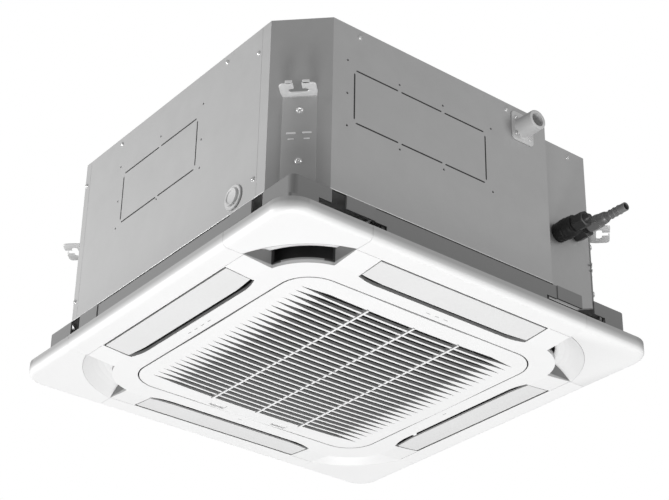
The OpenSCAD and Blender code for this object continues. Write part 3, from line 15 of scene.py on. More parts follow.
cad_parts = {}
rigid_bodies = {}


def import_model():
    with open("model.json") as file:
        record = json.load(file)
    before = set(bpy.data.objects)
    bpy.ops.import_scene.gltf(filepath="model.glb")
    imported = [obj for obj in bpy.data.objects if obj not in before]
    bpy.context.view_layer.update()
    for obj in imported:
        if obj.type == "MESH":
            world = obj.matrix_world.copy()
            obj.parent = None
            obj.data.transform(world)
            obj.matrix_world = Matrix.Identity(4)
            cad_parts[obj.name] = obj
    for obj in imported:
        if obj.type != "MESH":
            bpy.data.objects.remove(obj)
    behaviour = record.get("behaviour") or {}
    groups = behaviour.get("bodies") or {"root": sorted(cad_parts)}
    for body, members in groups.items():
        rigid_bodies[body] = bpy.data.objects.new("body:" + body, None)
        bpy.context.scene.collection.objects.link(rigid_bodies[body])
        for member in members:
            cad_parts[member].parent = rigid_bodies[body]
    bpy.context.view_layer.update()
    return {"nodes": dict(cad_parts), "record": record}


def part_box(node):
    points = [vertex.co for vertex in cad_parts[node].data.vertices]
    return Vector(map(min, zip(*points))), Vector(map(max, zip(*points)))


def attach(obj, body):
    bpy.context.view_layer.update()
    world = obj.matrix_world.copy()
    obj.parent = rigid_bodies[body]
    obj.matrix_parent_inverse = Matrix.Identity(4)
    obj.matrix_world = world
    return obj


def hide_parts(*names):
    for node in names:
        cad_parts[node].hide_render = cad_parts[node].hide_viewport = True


for leftover in list(bpy.data.objects):
    bpy.data.objects.remove(leftover)

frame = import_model()
nodes = frame["nodes"]
mm = 0.001

# %% [markdown]
# The camera looks up at the unit's near corner, as it is seen from the room below. The angles
# were fitted to the photograph by matching corners of the casing, so they are kept as plain
# numbers. A long lens keeps the edges nearly parallel.

# %% Camera
view_azimuth = math.radians(37.87)
view_elevation = math.radians(29.61)
view_roll = math.radians(1.054)
view_distance = 2.405
aim = Vector((-45.2, -60.7, -57.8)) * mm

view_direction = Vector((
    math.sin(view_azimuth) * math.cos(view_elevation),
    math.cos(view_azimuth) * math.cos(view_elevation),
    math.sin(view_elevation)))
camera_data = bpy.data.cameras.new("camera")
camera_data.lens = 93.55
camera_data.sensor_width = 36
camera_data.clip_start = 0.05
camera = bpy.data.objects.new("camera", camera_data)
camera.location = aim - view_distance * view_direction
level_turn = view_direction.to_track_quat("-Z", "Y").to_matrix()
camera.rotation_euler = (level_turn @ Matrix.Rotation(view_roll, 3, "Z")).to_euler()
bpy.context.scene.collection.objects.link(camera)
bpy.context.scene.camera = camera
bpy.context.scene.view_settings.view_transform = "Standard"
print("camera at", [round(v, 3) for v in camera.location])

# %% [markdown]
# The unit hangs in the air, so the floor lies well below it, under the camera too.
# A pale floor also throws soft light up at the white panel, much as a real room does.

# %% Floor
floor_height = -4.4
floor_half = 9.0
floor_tone = 0.8
floor_roughness = 0.9

floor_mesh = bpy.data.meshes.new("floor")
shape = bmesh.new()
bmesh.ops.create_grid(shape, x_segments=1, y_segments=1, size=floor_half)
bmesh.ops.translate(shape, verts=shape.verts, vec=(0, 0, floor_height))
shape.to_mesh(floor_mesh)
shape.free()
floor = bpy.data.objects.new("floor", floor_mesh)
bpy.context.scene.collection.objects.link(floor)

pale = bpy.data.materials.new("pale_floor")
pale.use_nodes = True
pale_shader = pale.node_tree.nodes["Principled BSDF"]
pale_shader.inputs["Base Color"].default_value = (floor_tone, floor_tone, floor_tone, 1)
pale_shader.inputs["Roughness"].default_value = floor_roughness
floor_mesh.materials.append(pale)
print("floor at", floor_height)

# %% [markdown]
# In the photograph the panel's underside is almost white, the left side is light grey, the
# front is darker and the cut-off corner between them is darkest. The lamp below is small and
# far away, so its rays run almost straight up and leave the upright walls of the slots grey.
# A second one leans out past the near corner and reaches the legs of the hanging brackets.
# One lamp stands far out to the left and a weaker one to the right, and both reach the corner
# between them only at a slant. The last one lights the sides that the photograph doesn't show.

# %% Lamps
panel_middle = (0, 0, -0.2)
casing_middle = (0, 0, 0)

# A lamp's place, the point that it is aimed at, the side of its square in metres and its power
lamps = {
    "lamp_below": ((0.1, 0.1, -4.2), panel_middle, 1.1, 72),
    "lamp_near": ((-1.3, -1.3, -3.5), panel_middle, 1.0, 48),
    "lamp_left": ((-4.2, 3.2, 0.6), casing_middle, 2.0, 190),
    "lamp_right": ((2.2, -4.8, 0.6), casing_middle, 2.0, 75),
    "lamp_behind": ((2.6, 2.6, 2.2), casing_middle, 2.0, 45),
}


def soft_lamp(name, place, target, size, power):
    """A square studio lamp that the camera itself never sees."""
    data = bpy.data.lights.new(name, "AREA")
    data.size = size
    data.energy = power
    lamp = bpy.data.objects.new(name, data)
    lamp.location = place
    lamp.rotation_euler = (Vector(target) - Vector(place)).to_track_quat("-Z", "Y").to_euler()
    lamp.visible_camera = False
    bpy.context.scene.collection.objects.link(lamp)


for name, values in lamps.items():
    soft_lamp(name, *values)
print("lamps:", len(lamps))

# %% [markdown]
# The backdrop is plain white, but a white world would flood the dark corner with light.
# A Light Path node lets the camera see white while everything else receives a dimmer grey.

# %% World
backdrop_white = 1.0
room_light = 0.285

world = bpy.data.worlds.new("studio")
bpy.context.scene.world = world
world.use_nodes = True
tree = world.node_tree
tree.nodes.clear()
seen = tree.nodes.new("ShaderNodeBackground")
seen.inputs["Color"].default_value = (backdrop_white, backdrop_white, backdrop_white, 1)
felt = tree.nodes.new("ShaderNodeBackground")
felt.inputs["Color"].default_value = (room_light, room_light, room_light, 1)
path = tree.nodes.new("ShaderNodeLightPath")
choose = tree.nodes.new("ShaderNodeMixShader")
out = tree.nodes.new("ShaderNodeOutputWorld")
tree.links.new(path.outputs["Is Camera Ray"], choose.inputs["Fac"])
tree.links.new(felt.outputs["Background"], choose.inputs[1])
tree.links.new(seen.outputs["Background"], choose.inputs[2])
tree.links.new(choose.outputs["Shader"], out.inputs["Surface"])
print("room light", room_light)

# %% [markdown]
# Every finish is made the same way. A wide noise wanders between two tones and varies the
# roughness with them, and a finer one is the grain that tilts the surface. What differs is the
# scale of each, because moulded plastic, zinc and rubber catch the light differently.

# %% A finish made of noise
gloss_spread = 0.06
cloud_detail = 4
grain_detail = 2


def finish(name, tone, other, roughness, cloud_size, grain_size, grain_height, metallic=0.0):
    """A procedural material from two tones, a roughness and three sizes in millimetres."""
    made = bpy.data.materials.new(name)
    made.use_nodes = True
    tree = made.node_tree
    shader = tree.nodes["Principled BSDF"]
    shader.inputs["Metallic"].default_value = metallic
    place = tree.nodes.new("ShaderNodeTexCoord")
    cloud = tree.nodes.new("ShaderNodeTexNoise")
    cloud.inputs["Scale"].default_value = 1 / (cloud_size * mm)
    cloud.inputs["Detail"].default_value = cloud_detail
    tones = tree.nodes.new("ShaderNodeMix")
    tones.data_type = "RGBA"
    tones.inputs["A"].default_value = (*tone, 1)
    tones.inputs["B"].default_value = (*other, 1)
    grain = tree.nodes.new("ShaderNodeTexNoise")
    grain.inputs["Scale"].default_value = 1 / (grain_size * mm)
    grain.inputs["Detail"].default_value = grain_detail
    gloss = tree.nodes.new("ShaderNodeMapRange")
    gloss.inputs["To Min"].default_value = roughness - gloss_spread
    gloss.inputs["To Max"].default_value = roughness + gloss_spread
    bump = tree.nodes.new("ShaderNodeBump")
    bump.inputs["Distance"].default_value = grain_height * mm
    bump.inputs["Strength"].default_value = 1
    tree.links.new(place.outputs["Object"], cloud.inputs["Vector"])
    tree.links.new(place.outputs["Object"], grain.inputs["Vector"])
    tree.links.new(cloud.outputs["Fac"], tones.inputs["Factor"])
    tree.links.new(tones.outputs["Result"], shader.inputs["Base Color"])
    tree.links.new(cloud.outputs["Fac"], gloss.inputs["Value"])
    tree.links.new(gloss.outputs["Result"], shader.inputs["Roughness"])
    tree.links.new(grain.outputs["Fac"], bump.inputs["Height"])
    tree.links.new(bump.outputs["Normal"], shader.inputs["Normal"])
    return made


def grey(level):
    """A colour without a hue."""
    return (level, level, level)


print("gloss varies by", gloss_spread, "either way")

# %% [markdown]
# Each row of this table is one finish of the unit, from the zinc of the casing to the orange of
# the drain float. The sizes are in millimetres: how wide a cloud of tone is, how wide a grain is
# and how high it stands. Foam has the deepest grain and the moulded panel the shallowest.

# %% Finishes of the unit
# Two tones, roughness, cloud size, grain size, grain height and how metallic it is
recipes = {
    "zinc_sheet": (grey(0.44), grey(0.50), 0.58, 30, 4, 0.02, 0.2),
    # The near-white of bracket steel is painted light on the bracket legs and on the hem
    "bracket_steel": (grey(0.90), grey(0.95), 0.32, 10, 2, 0.02, 0.1),
    "bright_screws": (grey(0.78), grey(0.86), 0.25, 4, 1, 0.01, 0.6),
    "grey_foam": (grey(0.03), grey(0.05), 0.95, 10, 1.5, 0.4),
    "white_foam": (grey(0.70), grey(0.78), 0.85, 20, 4, 0.4),
    "panel_white": (grey(0.86), grey(0.88), 0.42, 80, 0.8, 0.006),
    "flap_white": (grey(0.74), grey(0.77), 0.45, 80, 0.8, 0.006),
    "collar_grey": (grey(0.24), grey(0.27), 0.6, 30, 1, 0.02),
    "fan_grey": (grey(0.07), grey(0.09), 0.5, 30, 1, 0.01),
    "motor_case": (grey(0.35), grey(0.42), 0.4, 20, 2, 0.03, 0.7),
    "plain_steel": (grey(0.55), grey(0.62), 0.35, 10, 1, 0.01, 0.8),
    "fin_aluminium": (grey(0.6), grey(0.68), 0.4, 10, 1, 0.02, 0.7),
    "copper_tube": ((0.55, 0.27, 0.16), (0.62, 0.33, 0.2), 0.35, 10, 2, 0.01, 0.9),
    "dark_fitting": (grey(0.24), grey(0.29), 0.4, 10, 1, 0.02, 0.4),
    "black_rubber": (grey(0.012), grey(0.02), 0.55, 10, 0.8, 0.04),
    "black_fitting": (grey(0.03), grey(0.045), 0.4, 10, 0.8, 0.02),
    "pump_white": (grey(0.72), grey(0.76), 0.45, 30, 1, 0.01),
    "pipe_grey": (grey(0.66), grey(0.70), 0.42, 20, 1, 0.01),
    "float_orange": ((0.7, 0.25, 0.05), (0.76, 0.3, 0.07), 0.45, 10, 1, 0.01),
    "board_green": ((0.03, 0.14, 0.06), (0.04, 0.17, 0.08), 0.4, 4, 1, 0.02),
    "filter_mesh": (grey(0.02), grey(0.035), 0.8, 10, 1, 0.2),
    "lamp_grey": (grey(0.45), grey(0.5), 0.2, 4, 1, 0.01),
}
finishes = {name: finish(name, *recipe) for name, recipe in recipes.items()}
finishes["grille_white"] = finish("grille_white", *recipes["panel_white"])
print("finishes:", len(finishes))

# %% [markdown]
# A mask says where on a piece something is painted. It is a chain of Math nodes that ends in a
# number between zero and one, and a small class builds such chains with short calls. Places and
# normals are read in the object's own frame, so what is painted stays put when a piece swings.

# %% Masks from Math nodes
level_above = 0.75
wall_below = 0.45


class Web:
    """Builds chains of Math nodes in one material."""

    def __init__(self, material):
        self.tree = material.node_tree

    def math(self, operation, first, second=0.0, clamp=False):
        """One Math node on two values, each a number or the output of another node."""
        node = self.tree.nodes.new("ShaderNodeMath")
        node.operation = operation
        node.use_clamp = clamp
        for socket, value in zip(node.inputs, (first, second)):
            if isinstance(value, (int, float)):
                socket.default_value = value
            else:
                self.tree.links.new(value, socket)
        return node.outputs[0]

    def times(self, first, *others):
        """The product of all the values."""
        for other in others:
            first = self.math("MULTIPLY", first, other)
        return first

    def ramp(self, value, low, high):
        """Zero at low, one at high, straight between them and level beyond."""
        return self.math("MULTIPLY", self.math("SUBTRACT", value, low), 1 / (high - low), clamp=True)

    def split(self, reading):
        """The three parts of one reading of the Texture Coordinate node."""
        source = self.tree.nodes.new("ShaderNodeTexCoord")
        parts = self.tree.nodes.new("ShaderNodeSeparateXYZ")
        self.tree.links.new(source.outputs[reading], parts.inputs[0])
        return parts.outputs

    def upright(self):
        """One on walls, zero on faces that look up or down while the piece is at rest."""
        up = self.split("Normal")[2]
        return self.ramp(self.math("ABSOLUTE", up), level_above, wall_below)

    def darken(self, mask, tone):
        """Mixes the base colour towards a tone where the mask is one."""
        shader = self.tree.nodes["Principled BSDF"]
        base = shader.inputs["Base Color"].links[0].from_socket
        mix = self.tree.nodes.new("ShaderNodeMix")
        mix.data_type = "RGBA"
        mix.inputs["B"].default_value = (tone, tone, tone, 1)
        self.tree.links.new(mask, mix.inputs["Factor"])
        self.tree.links.new(base, mix.inputs["A"])
        self.tree.links.new(mix.outputs["Result"], shader.inputs["Base Color"])


print("a face is a wall where its normal rises by less than", wall_below)

# %% [markdown]
# Little light reaches the inside of the panel, so in the photograph every gap is a crisp dark
# line. The few lamps here can't make that depth of shade, so it is painted: the moulding turns
# dark above its face, all over except in the hollow corner vents, and its rim greys towards the
# upper edge. The masks are made of plain distances: the height above the face, and how far out
# from the middle. A painted shade is right for this picture's light only.

# %% Dark inside the panel
face_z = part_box("corner_cover_far")[0].z
gap_from, gap_to, gap_half, gap_tone = 0.4 * mm, 2.2 * mm, 286 * mm, 0.02
wall_half, wall_tone = 283 * mm, 0.10
low_wall_share, high_wall_share = 0.42, 0.86
rim_from, rim_to, rim_half, rim_tone = 5 * mm, 15 * mm, 300 * mm, 0.42
vent_from, vent_centre, vent_r = 150 * mm, 142.3 * mm, 104 * mm

web = Web(finishes["panel_white"])
x, y, z = web.split("Object")
across, along = web.math("ABSOLUTE", x), web.math("ABSOLUTE", y)
farther = web.math("MAXIMUM", across, along)
nearer = web.math("MINIMUM", across, along)
from_vent_x = web.math("SUBTRACT", across, vent_centre)
from_vent_y = web.math("SUBTRACT", along, vent_centre)
squares = web.math("ADD", web.times(from_vent_x, from_vent_x), web.times(from_vent_y, from_vent_y))
in_vent = web.times(web.math("GREATER_THAN", nearer, vent_from),
                    web.math("GREATER_THAN", squares, vent_r ** 2))
lifted = web.ramp(z, face_z + gap_from, face_z + gap_to)
gap_mask = web.times(lifted, web.math("LESS_THAN", farther, gap_half),
                     web.math("SUBTRACT", 1, in_vent))
wall_share = web.math("ADD", low_wall_share, web.times(lifted, high_wall_share - low_wall_share))
wall_mask = web.times(web.upright(), wall_share, web.math("LESS_THAN", farther, wall_half))
rim_mask = web.times(web.ramp(z, face_z + rim_from, face_z + rim_to),
                     web.math("GREATER_THAN", farther, rim_half))
web.darken(wall_mask, wall_tone)
web.darken(rim_mask, rim_tone)
web.darken(gap_mask, gap_tone)
print("panel face at", round(face_z, 4))

# %% [markdown]
# The grille's bars are white on their faces. The deeper a slot goes, the less light it gets, so in the
# photograph its wall is grey first and ends in a black line. Both are painted shade: the grey on every
# upright wall in the slots, and the black line at a fixed depth, which is the height above the bulging
# face. The bulge falls off with the square of the distance from the middle.

# %% Shade between the grille's bars
bulge, bulge_r = 5.8 * mm, 222 * mm
grille_below = 3.7 * mm
slots_half = 177 * mm
bar_wall_share, bar_wall_tone = 0.6, 0.18
black_from, black_to, black_tone = 3.6 * mm, 4.6 * mm, 0.015

web = Web(finishes["grille_white"])
x, y, z = web.split("Object")
squares = web.math("ADD", web.times(x, x), web.times(y, y))
share = web.math("SUBTRACT", 1, web.times(squares, 1 / bulge_r ** 2), clamp=True)
front = web.math("SUBTRACT", face_z - grille_below, web.times(share, bulge))
depth = web.math("SUBTRACT", z, front)
in_slots = web.math("LESS_THAN", web.math("ABSOLUTE", y), slots_half)
# Painted shade: grey on the upright slot walls, then a black line deeper in
web.darken(web.times(web.upright(), bar_wall_share, in_slots), bar_wall_tone)
web.darken(web.times(web.ramp(depth, black_from, black_to), in_slots), black_tone)
print("the grille bulges by", round(bulge / mm, 1), "mm")

# %% [markdown]
# The frame's record says which material each node is made of. The intake grille is moulded
# from the panel's plastic, and only its painted shade gives it a finish of its own.

# %% Finishes on the frame
slot_of = {part["node"]: part["material_slot"] for part in frame["record"]["subparts"]}
own_finish = {"intake_grille": "grille_white"}
for name, node in nodes.items():
    node.data.materials.clear()
    node.data.materials.append(finishes[own_finish.get(name, slot_of[name])])
print("nodes finished:", len(nodes))

# %% [markdown]
# Moulded edges are never razor sharp, and the thin bright line along each one is what makes
# a part look real. A Weld modifier joins the loose triangles of the frame, a Decimate modifier
# merges the ones that lie in one plane, and a Bevel breaks every edge sharper than its limit.
# None of them touches the mesh itself. Folded sheet keeps its crisp edges.

# %% Broken edges
cover_edge = 0.35 * mm
thin_edge = 0.3 * mm
weld_distance = 0.005 * mm
one_plane = math.radians(0.3)
sharp_edge = math.radians(35)


def break_edges(name, width):
    """Rounds a node's edges by modifiers alone."""
    node = nodes[name]
    weld = node.modifiers.new("weld", "WELD")
    weld.merge_threshold = weld_distance
    flat = node.modifiers.new("flat", "DECIMATE")
    flat.decimate_type = "DISSOLVE"
    flat.angle_limit = one_plane
    bevel = node.modifiers.new("bevel", "BEVEL")
    bevel.width = width
    bevel.segments = 2
    bevel.limit_method = "ANGLE"
    bevel.angle_limit = sharp_edge
    bevel.harden_normals = True


for corner in ("near", "left", "right", "far"):
    break_edges(f"corner_cover_{corner}", cover_edge)
for name in ("flap_left", "flap_front", "flap_right", "flap_back", "panel_collar"):
    break_edges(name, thin_edge)
print("softened:", sum(bool(node.modifiers) for node in nodes.values()))

# %% [markdown]
# Small pieces are drawn as outlines in millimetres and then made solid. One helper turns a half
# section round an axis, as a lathe does, and another pulls a flat outline up into a plate.
# Their sharp edges are rounded afterwards, as deburring does in the workshop.

# %% Shapes from outlines
same_point = 0.01


def arc(x, y, radius, start, end, steps):
    """Points on an arc round a middle, from one angle in degrees to another."""
    turns = [math.radians(start + (end - start) * step / steps) for step in range(steps + 1)]
    return [(x + radius * math.cos(turn), y + radius * math.sin(turn)) for turn in turns]


def rounded_outline(half_x, half_y, radius, steps=6):
    """Corner points of a rectangle with round corners."""
    outline = []
    for quarter, (side_x, side_y) in enumerate(((1, 1), (-1, 1), (-1, -1), (1, -1))):
        outline += arc(side_x * (half_x - radius), side_y * (half_y - radius), radius,
                       90 * quarter, 90 * (quarter + 1), steps)
    return outline


def turned(section, steps=40, closed=False):
    """Turns a half section of (radius, height) points round the Z axis."""
    shape = bmesh.new()
    corners = [shape.verts.new((radius * mm, 0, height * mm)) for radius, height in section]
    pairs = list(zip(corners, corners[1:]))
    if closed:
        pairs.append((corners[-1], corners[0]))
    edges = [shape.edges.new(pair) for pair in pairs]
    bmesh.ops.spin(shape, geom=corners + edges, cent=(0, 0, 0), axis=(0, 0, 1),
                   angle=math.tau, steps=steps, use_merge=True)
    bmesh.ops.remove_doubles(shape, verts=shape.verts, dist=same_point * mm)
    return shape


def plate(outline, low, high):
    """Pulls a flat outline of (x, y) points up into a solid between two heights."""
    shape = bmesh.new()
    bottom = shape.faces.new([shape.verts.new((x * mm, y * mm, low * mm)) for x, y in outline])
    grown = bmesh.ops.extrude_face_region(shape, geom=[bottom])
    lifted = [part for part in grown["geom"] if isinstance(part, bmesh.types.BMVert)]
    bmesh.ops.translate(shape, verts=lifted, vec=(0, 0, (high - low) * mm))
    return shape


def soften(shape, width, sharpest=50):
    """Rounds every edge of a solid that is sharper than an angle in degrees."""
    bmesh.ops.recalc_face_normals(shape, faces=shape.faces)
    limit = math.radians(sharpest)
    sharp = [edge for edge in shape.edges if edge.is_manifold and edge.calc_face_angle() > limit]
    bmesh.ops.bevel(shape, geom=sharp, offset=width * mm, affect="EDGES", segments=2,
                    profile=0.5, material=-1, clamp_overlap=True)
    return shape


print("a quarter arc in four steps has", len(arc(0, 0, 1, 0, 90, 4)), "points")

# %% [markdown]
# A finished solid is moved to its place inside its own mesh, so that its object stays at the
# origin like a node of the frame. Then it gets its finish, the body that it rides on and the
# nodes that it stands for. A piece with several solids is joined first.

# %% Pieces for the unit
smooth_below = math.radians(32)


def shift(x, y, z):
    """A move given in millimetres."""
    return Matrix.Translation((x * mm, y * mm, z * mm))


def join(shape, other, place=Matrix()):
    """Moves a second solid into place and adds it to the first."""
    bmesh.ops.transform(other, matrix=place, verts=other.verts)
    carrier = bpy.data.meshes.new("carrier")
    other.to_mesh(carrier)
    other.free()
    shape.from_mesh(carrier)
    bpy.data.meshes.remove(carrier)


def dress(name, shape, body, slot, stands_for=(), place=Matrix()):
    """Makes a scene object of a solid, with its finish, its body and the nodes it stands for."""
    bmesh.ops.transform(shape, matrix=place, verts=shape.verts)
    bmesh.ops.recalc_face_normals(shape, faces=shape.faces)
    mesh = bpy.data.meshes.new(name)
    shape.to_mesh(mesh)
    shape.free()
    mesh.polygons.foreach_set("use_smooth", [True] * len(mesh.polygons))
    mesh.set_sharp_from_angle(angle=smooth_below)
    mesh.materials.append(finishes[slot])
    made = bpy.data.objects.new(name, mesh)
    bpy.context.scene.collection.objects.link(made)
    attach(made, body)
    if stands_for:
        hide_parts(*stands_for)


# %% [markdown]
# Real hexagon nuts are turned to a cone at both ends before they are cut, so each flat ends
# in a curved line. The same line appears when the hexagon's radius at every angle is taken,
# and the ring is lowered by the cone's slope where it is wider than the end face.

# %% Hexagon nuts
end_face_share = 0.955
cone_slope = math.tan(math.radians(30))
nut_steps = 48
flat_turn = math.pi / 3


def close_rings(shape, rings):
    """Joins each ring of corners to the next one by quads, and the last ring to the first."""
    for ring, above in zip(rings, rings[1:] + rings[:1]):
        for index in range(len(ring)):
            after = (index + 1) % len(ring)
            shape.faces.new((ring[index], ring[after], above[after], above[index]))
    return shape


def nut(across, length, bore):
    """A hexagon with turned ends along Z, from zero up, with a bore through it."""
    end_face = end_face_share * across / 2
    shape = bmesh.new()
    rings = [[] for level in range(6)]
    for step in range(nut_steps):
        angle = math.tau * step / nut_steps
        from_flat = (angle + flat_turn / 2) % flat_turn - flat_turn / 2
        corner = across / 2 / math.cos(from_flat)
        drop = (corner - end_face) * cone_slope
        profile = ((bore, 0), (end_face, 0), (corner, drop),
                   (corner, length - drop), (end_face, length), (bore, length))
        for ring, (radius, height) in zip(rings, profile):
            ring.append(shape.verts.new((
                radius * math.cos(angle) * mm, radius * math.sin(angle) * mm, height * mm)))
    return close_rings(shape, rings)


sample = nut(across=25, length=22, bore=5)
print("nut faces:", len(sample.faces))
sample.free()

# %% [markdown]
# The gas line leaves the casing through a black union, is tightened by a smaller flare nut
# and ends in a short ribbed stub. A round collar lies between the two hexagons.

# %% Gas connection
gas_low, gas_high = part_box("gas_fitting")
gas_x = (gas_low.x + gas_high.x) / 2 / mm
gas_z = (gas_low.z + gas_high.z) / 2 / mm
gas_l = (gas_high.y - gas_low.y) / mm
gas_bore = 4.8
recess_y = gas_high.y / mm
to_front = Matrix.Rotation(math.radians(90), 4, "X")
gas_at = shift(gas_x, recess_y, gas_z) @ to_front

union_across, union_hex_l, union_l = 25, 22, 27
collar_r, neck_r = 10.6, 7.4
union = nut(union_across, union_hex_l, gas_bore)
join(union, turned([
    (gas_bore, union_hex_l), (collar_r, union_hex_l), (collar_r, union_hex_l + 1),
    (neck_r, union_hex_l + 2.4), (neck_r, union_l), (gas_bore, union_l)], closed=True))
dress("gas_union", union, "casing", "black_fitting", ["gas_fitting"], gas_at)

flare_across, flare_hex_l, flare_l = 19, 20, 33
skirt_r = 8.8
flare_nut = nut(flare_across, flare_hex_l, gas_bore)
join(flare_nut, turned([
    (gas_bore, flare_hex_l), (skirt_r, flare_hex_l), (skirt_r, flare_hex_l + 6),
    (skirt_r - 0.6, flare_l - 2), (skirt_r - 1.6, flare_l), (gas_bore, flare_l)], closed=True))
flare_at = gas_at @ shift(0, 0, union_l)
dress("gas_flare_nut", flare_nut, "casing", "dark_fitting", ["gas_fitting"], flare_at)

tube_from, tube_r = union_l + flare_l, 6.2
rib_count, rib_first, rib_pitch, rib_r = 3, 7, 8, 6.9
tube_section = [(gas_bore, tube_from), (tube_r, tube_from)]
for index in range(rib_count):
    rib = tube_from + rib_first + index * rib_pitch
    tube_section += [(tube_r, rib - 1.2), (rib_r, rib), (rib_r, rib + 1.2), (tube_r, rib + 2.2)]
tube_section += [(tube_r, gas_l - 0.7), (tube_r - 0.5, gas_l), (gas_bore + 0.3, gas_l),
                 (gas_bore, gas_l - 0.3)]
tube = turned(tube_section, closed=True)
dress("gas_stub", tube, "casing", "dark_fitting", ["gas_fitting"], gas_at)
print("gas connection reaches", round(gas_l, 1), "mm")

# %% [markdown]
# The liquid line is thinner. Its joint is wrapped in a soft black sleeve that bulges a little
# between its two ends, and the flare nut in front of it is closed by a small cone.

# %% Liquid connection
sleeve_low, sleeve_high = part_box("pipe_sleeve")
sleeve_x = (sleeve_low.x + sleeve_high.x) / 2 / mm
sleeve_z = (sleeve_low.z + sleeve_high.z) / 2 / mm
sleeve_r = (sleeve_high.x - sleeve_low.x) / 2 / mm
sleeve_l = (sleeve_high.y - sleeve_low.y) / mm
sleeve_bore = 4.4
sleeve_at = shift(sleeve_x, recess_y, sleeve_z) @ to_front

sleeve_steps = 12
fold_count, fold_rise = 5, 0.5
swell, swell_from = 1.4, sleeve_r - 1.9
sleeve_section = [(sleeve_bore, 0), (sleeve_r - 2.2, 0)]
for step in range(sleeve_steps + 1):
    share = step / sleeve_steps
    fold = fold_rise * math.cos(share * fold_count * math.tau)
    radius = swell_from + swell * math.sin(share * math.pi) + fold
    sleeve_section.append((radius, 1 + share * (sleeve_l - 2)))
sleeve_section += [(sleeve_r - 3, sleeve_l), (sleeve_bore, sleeve_l)]
sleeve = turned(sleeve_section, closed=True)
dress("sleeve", sleeve, "casing", "black_rubber", ["pipe_sleeve"], sleeve_at)

liquid_across, liquid_hex_l, liquid_l, liquid_bore = 21, 20, 28, 3
cone_r = 7.6
liquid = nut(liquid_across, liquid_hex_l, liquid_bore)
join(liquid, turned([
    (liquid_bore, liquid_hex_l), (cone_r, liquid_hex_l), (cone_r, liquid_hex_l + 1),
    (4.4, liquid_l - 1.4), (3.6, liquid_l - 0.2), (2.2, liquid_l), (0, liquid_l)]))
liquid_at = sleeve_at @ shift(0, 0, sleeve_l)
dress("liquid_flare_nut", liquid, "casing", "black_fitting", ["liquid_fitting"], liquid_at)
print("sleeve:", round(sleeve_r, 1), "mm radius,", round(sleeve_l, 1), "mm long")

# %% [markdown]
# The drain outlet is one light-grey moulding. Its flange has round corners, soft edges and a
# fillet up to the stub, and the stub tapers slightly so that a hose slides over it.

# %% Drain outlet
flange_low, flange_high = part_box("drain_outlet")
flange_w = (flange_high.x - flange_low.x) / mm
flange_h = (flange_high.z - flange_low.z) / mm
flange_t = (flange_high.y - flange_low.y) / mm
flange_corner, flange_edge = 6, 0.6
stub_low, stub_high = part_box("drain_stub")
drain_x = (stub_low.x + stub_high.x) / 2 / mm
drain_z = (stub_low.z + stub_high.z) / 2 / mm
stub_l = (stub_high.y - stub_low.y) / mm
stub_r = (stub_high.x - stub_low.x) / 2 / mm
drain_bore = 10
large_steps = 56
drain_at = shift(drain_x, flange_high.y / mm, drain_z) @ to_front

flange = plate(rounded_outline(flange_w / 2, flange_h / 2, flange_corner), 0, flange_t)
soften(flange, flange_edge, sharpest=60)
dress("drain_flange", flange, "casing", "pipe_grey", ["drain_outlet"], drain_at)
stub = turned([
    (drain_bore, 0.2), (stub_r + 3, 0.2), (stub_r + 2.6, flange_t), (stub_r + 0.9, flange_t + 0.7),
    (stub_r, flange_t + 2.6), (stub_r - 0.4, stub_l - 1.2), (stub_r - 0.9, stub_l - 0.3),
    (stub_r - 1.5, stub_l), (drain_bore + 0.5, stub_l), (drain_bore, stub_l - 0.5)],
    steps=large_steps, closed=True)
dress("drain_stub_pipe", stub, "casing", "pipe_grey", ["drain_stub"], drain_at)
print("drain stub:", round(stub_l, 1), "mm long")

# %% [markdown]
# The test hole's cap is turned in steps. A dished middle and rolled rims catch the light as
# rings, which is how the photograph shows it.

# %% Test cap
cap_low, cap_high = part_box("test_cap")
cap_y = (cap_low.y + cap_high.y) / 2 / mm
cap_z = (cap_low.z + cap_high.z) / 2 / mm
cap_r = (cap_high.y - cap_low.y) / 2 / mm
plug_r, plug_l = 11.7, 8
sheet_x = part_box("side_left")[0].x / mm
to_left = Matrix.Rotation(math.radians(-90), 4, "Y")

cap = turned([
    (0, -plug_l), (plug_r - 0.3, -plug_l), (plug_r, 0.4 - plug_l), (plug_r, 0.1),
    (cap_r - 0.3, 0.1), (cap_r, 0.5), (cap_r, 1.7), (cap_r - 0.8, 2.5), (13.6, 2.5), (12.8, 3),
    (12.5, 3.8), (12.3, 4.9), (11.6, 5.5), (10, 5.5), (9.2, 5.1), (8.7, 4.3), (6, 4.05), (0, 4)],
    steps=large_steps)
cap_at = shift(sheet_x, cap_y, cap_z) @ to_left
dress("test_cap_turned", cap, "test_cap", "pipe_grey", ["test_cap"], cap_at)
print("test cap radius", round(cap_r, 1), "mm")

# %% [markdown]
# Each hanging bracket is one strip of thick sheet. Its upright plate has the grey of the casing, then
# it is bent outwards over a small radius into a leg that is bright underneath. That brightness is
# painted light: the leg, its lips and the lances take a near-white finish, though they are the same
# sheet as the grey plate.
# The leg's mouth opens into a pocket for the washer of a ceiling rod. Lips turn up at the tips
# of the leg, and two pairs of short lances are pressed out of the plate.

# %% Parts of a hanging bracket
hanger_w, hanger_t = 44, 2
leg_w, reach = 47, 31
bend_r, bend_steps = 3.5, 6
steel_edge = 0.35
mouth, lip_r, tip_r, widened_at = 5.5, 1, 5.5, 12
pocket, pocket_r, pocket_at = 13, 4.2, 15.8
ear_t, ear_w, ear_top, ear_aside, ear_edge = 1.4, 9.2, 6, 11, 0.25
lance_aside, lance_rise, lance_edge = 10, 1.2, 0.4
lance_rows = ((-54, 12, 2.6), (-63, 8, 1.8))
plate_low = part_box("hanger_brackets")[0].z / mm
to_outside = Matrix.Rotation(math.radians(90), 4, "Y")


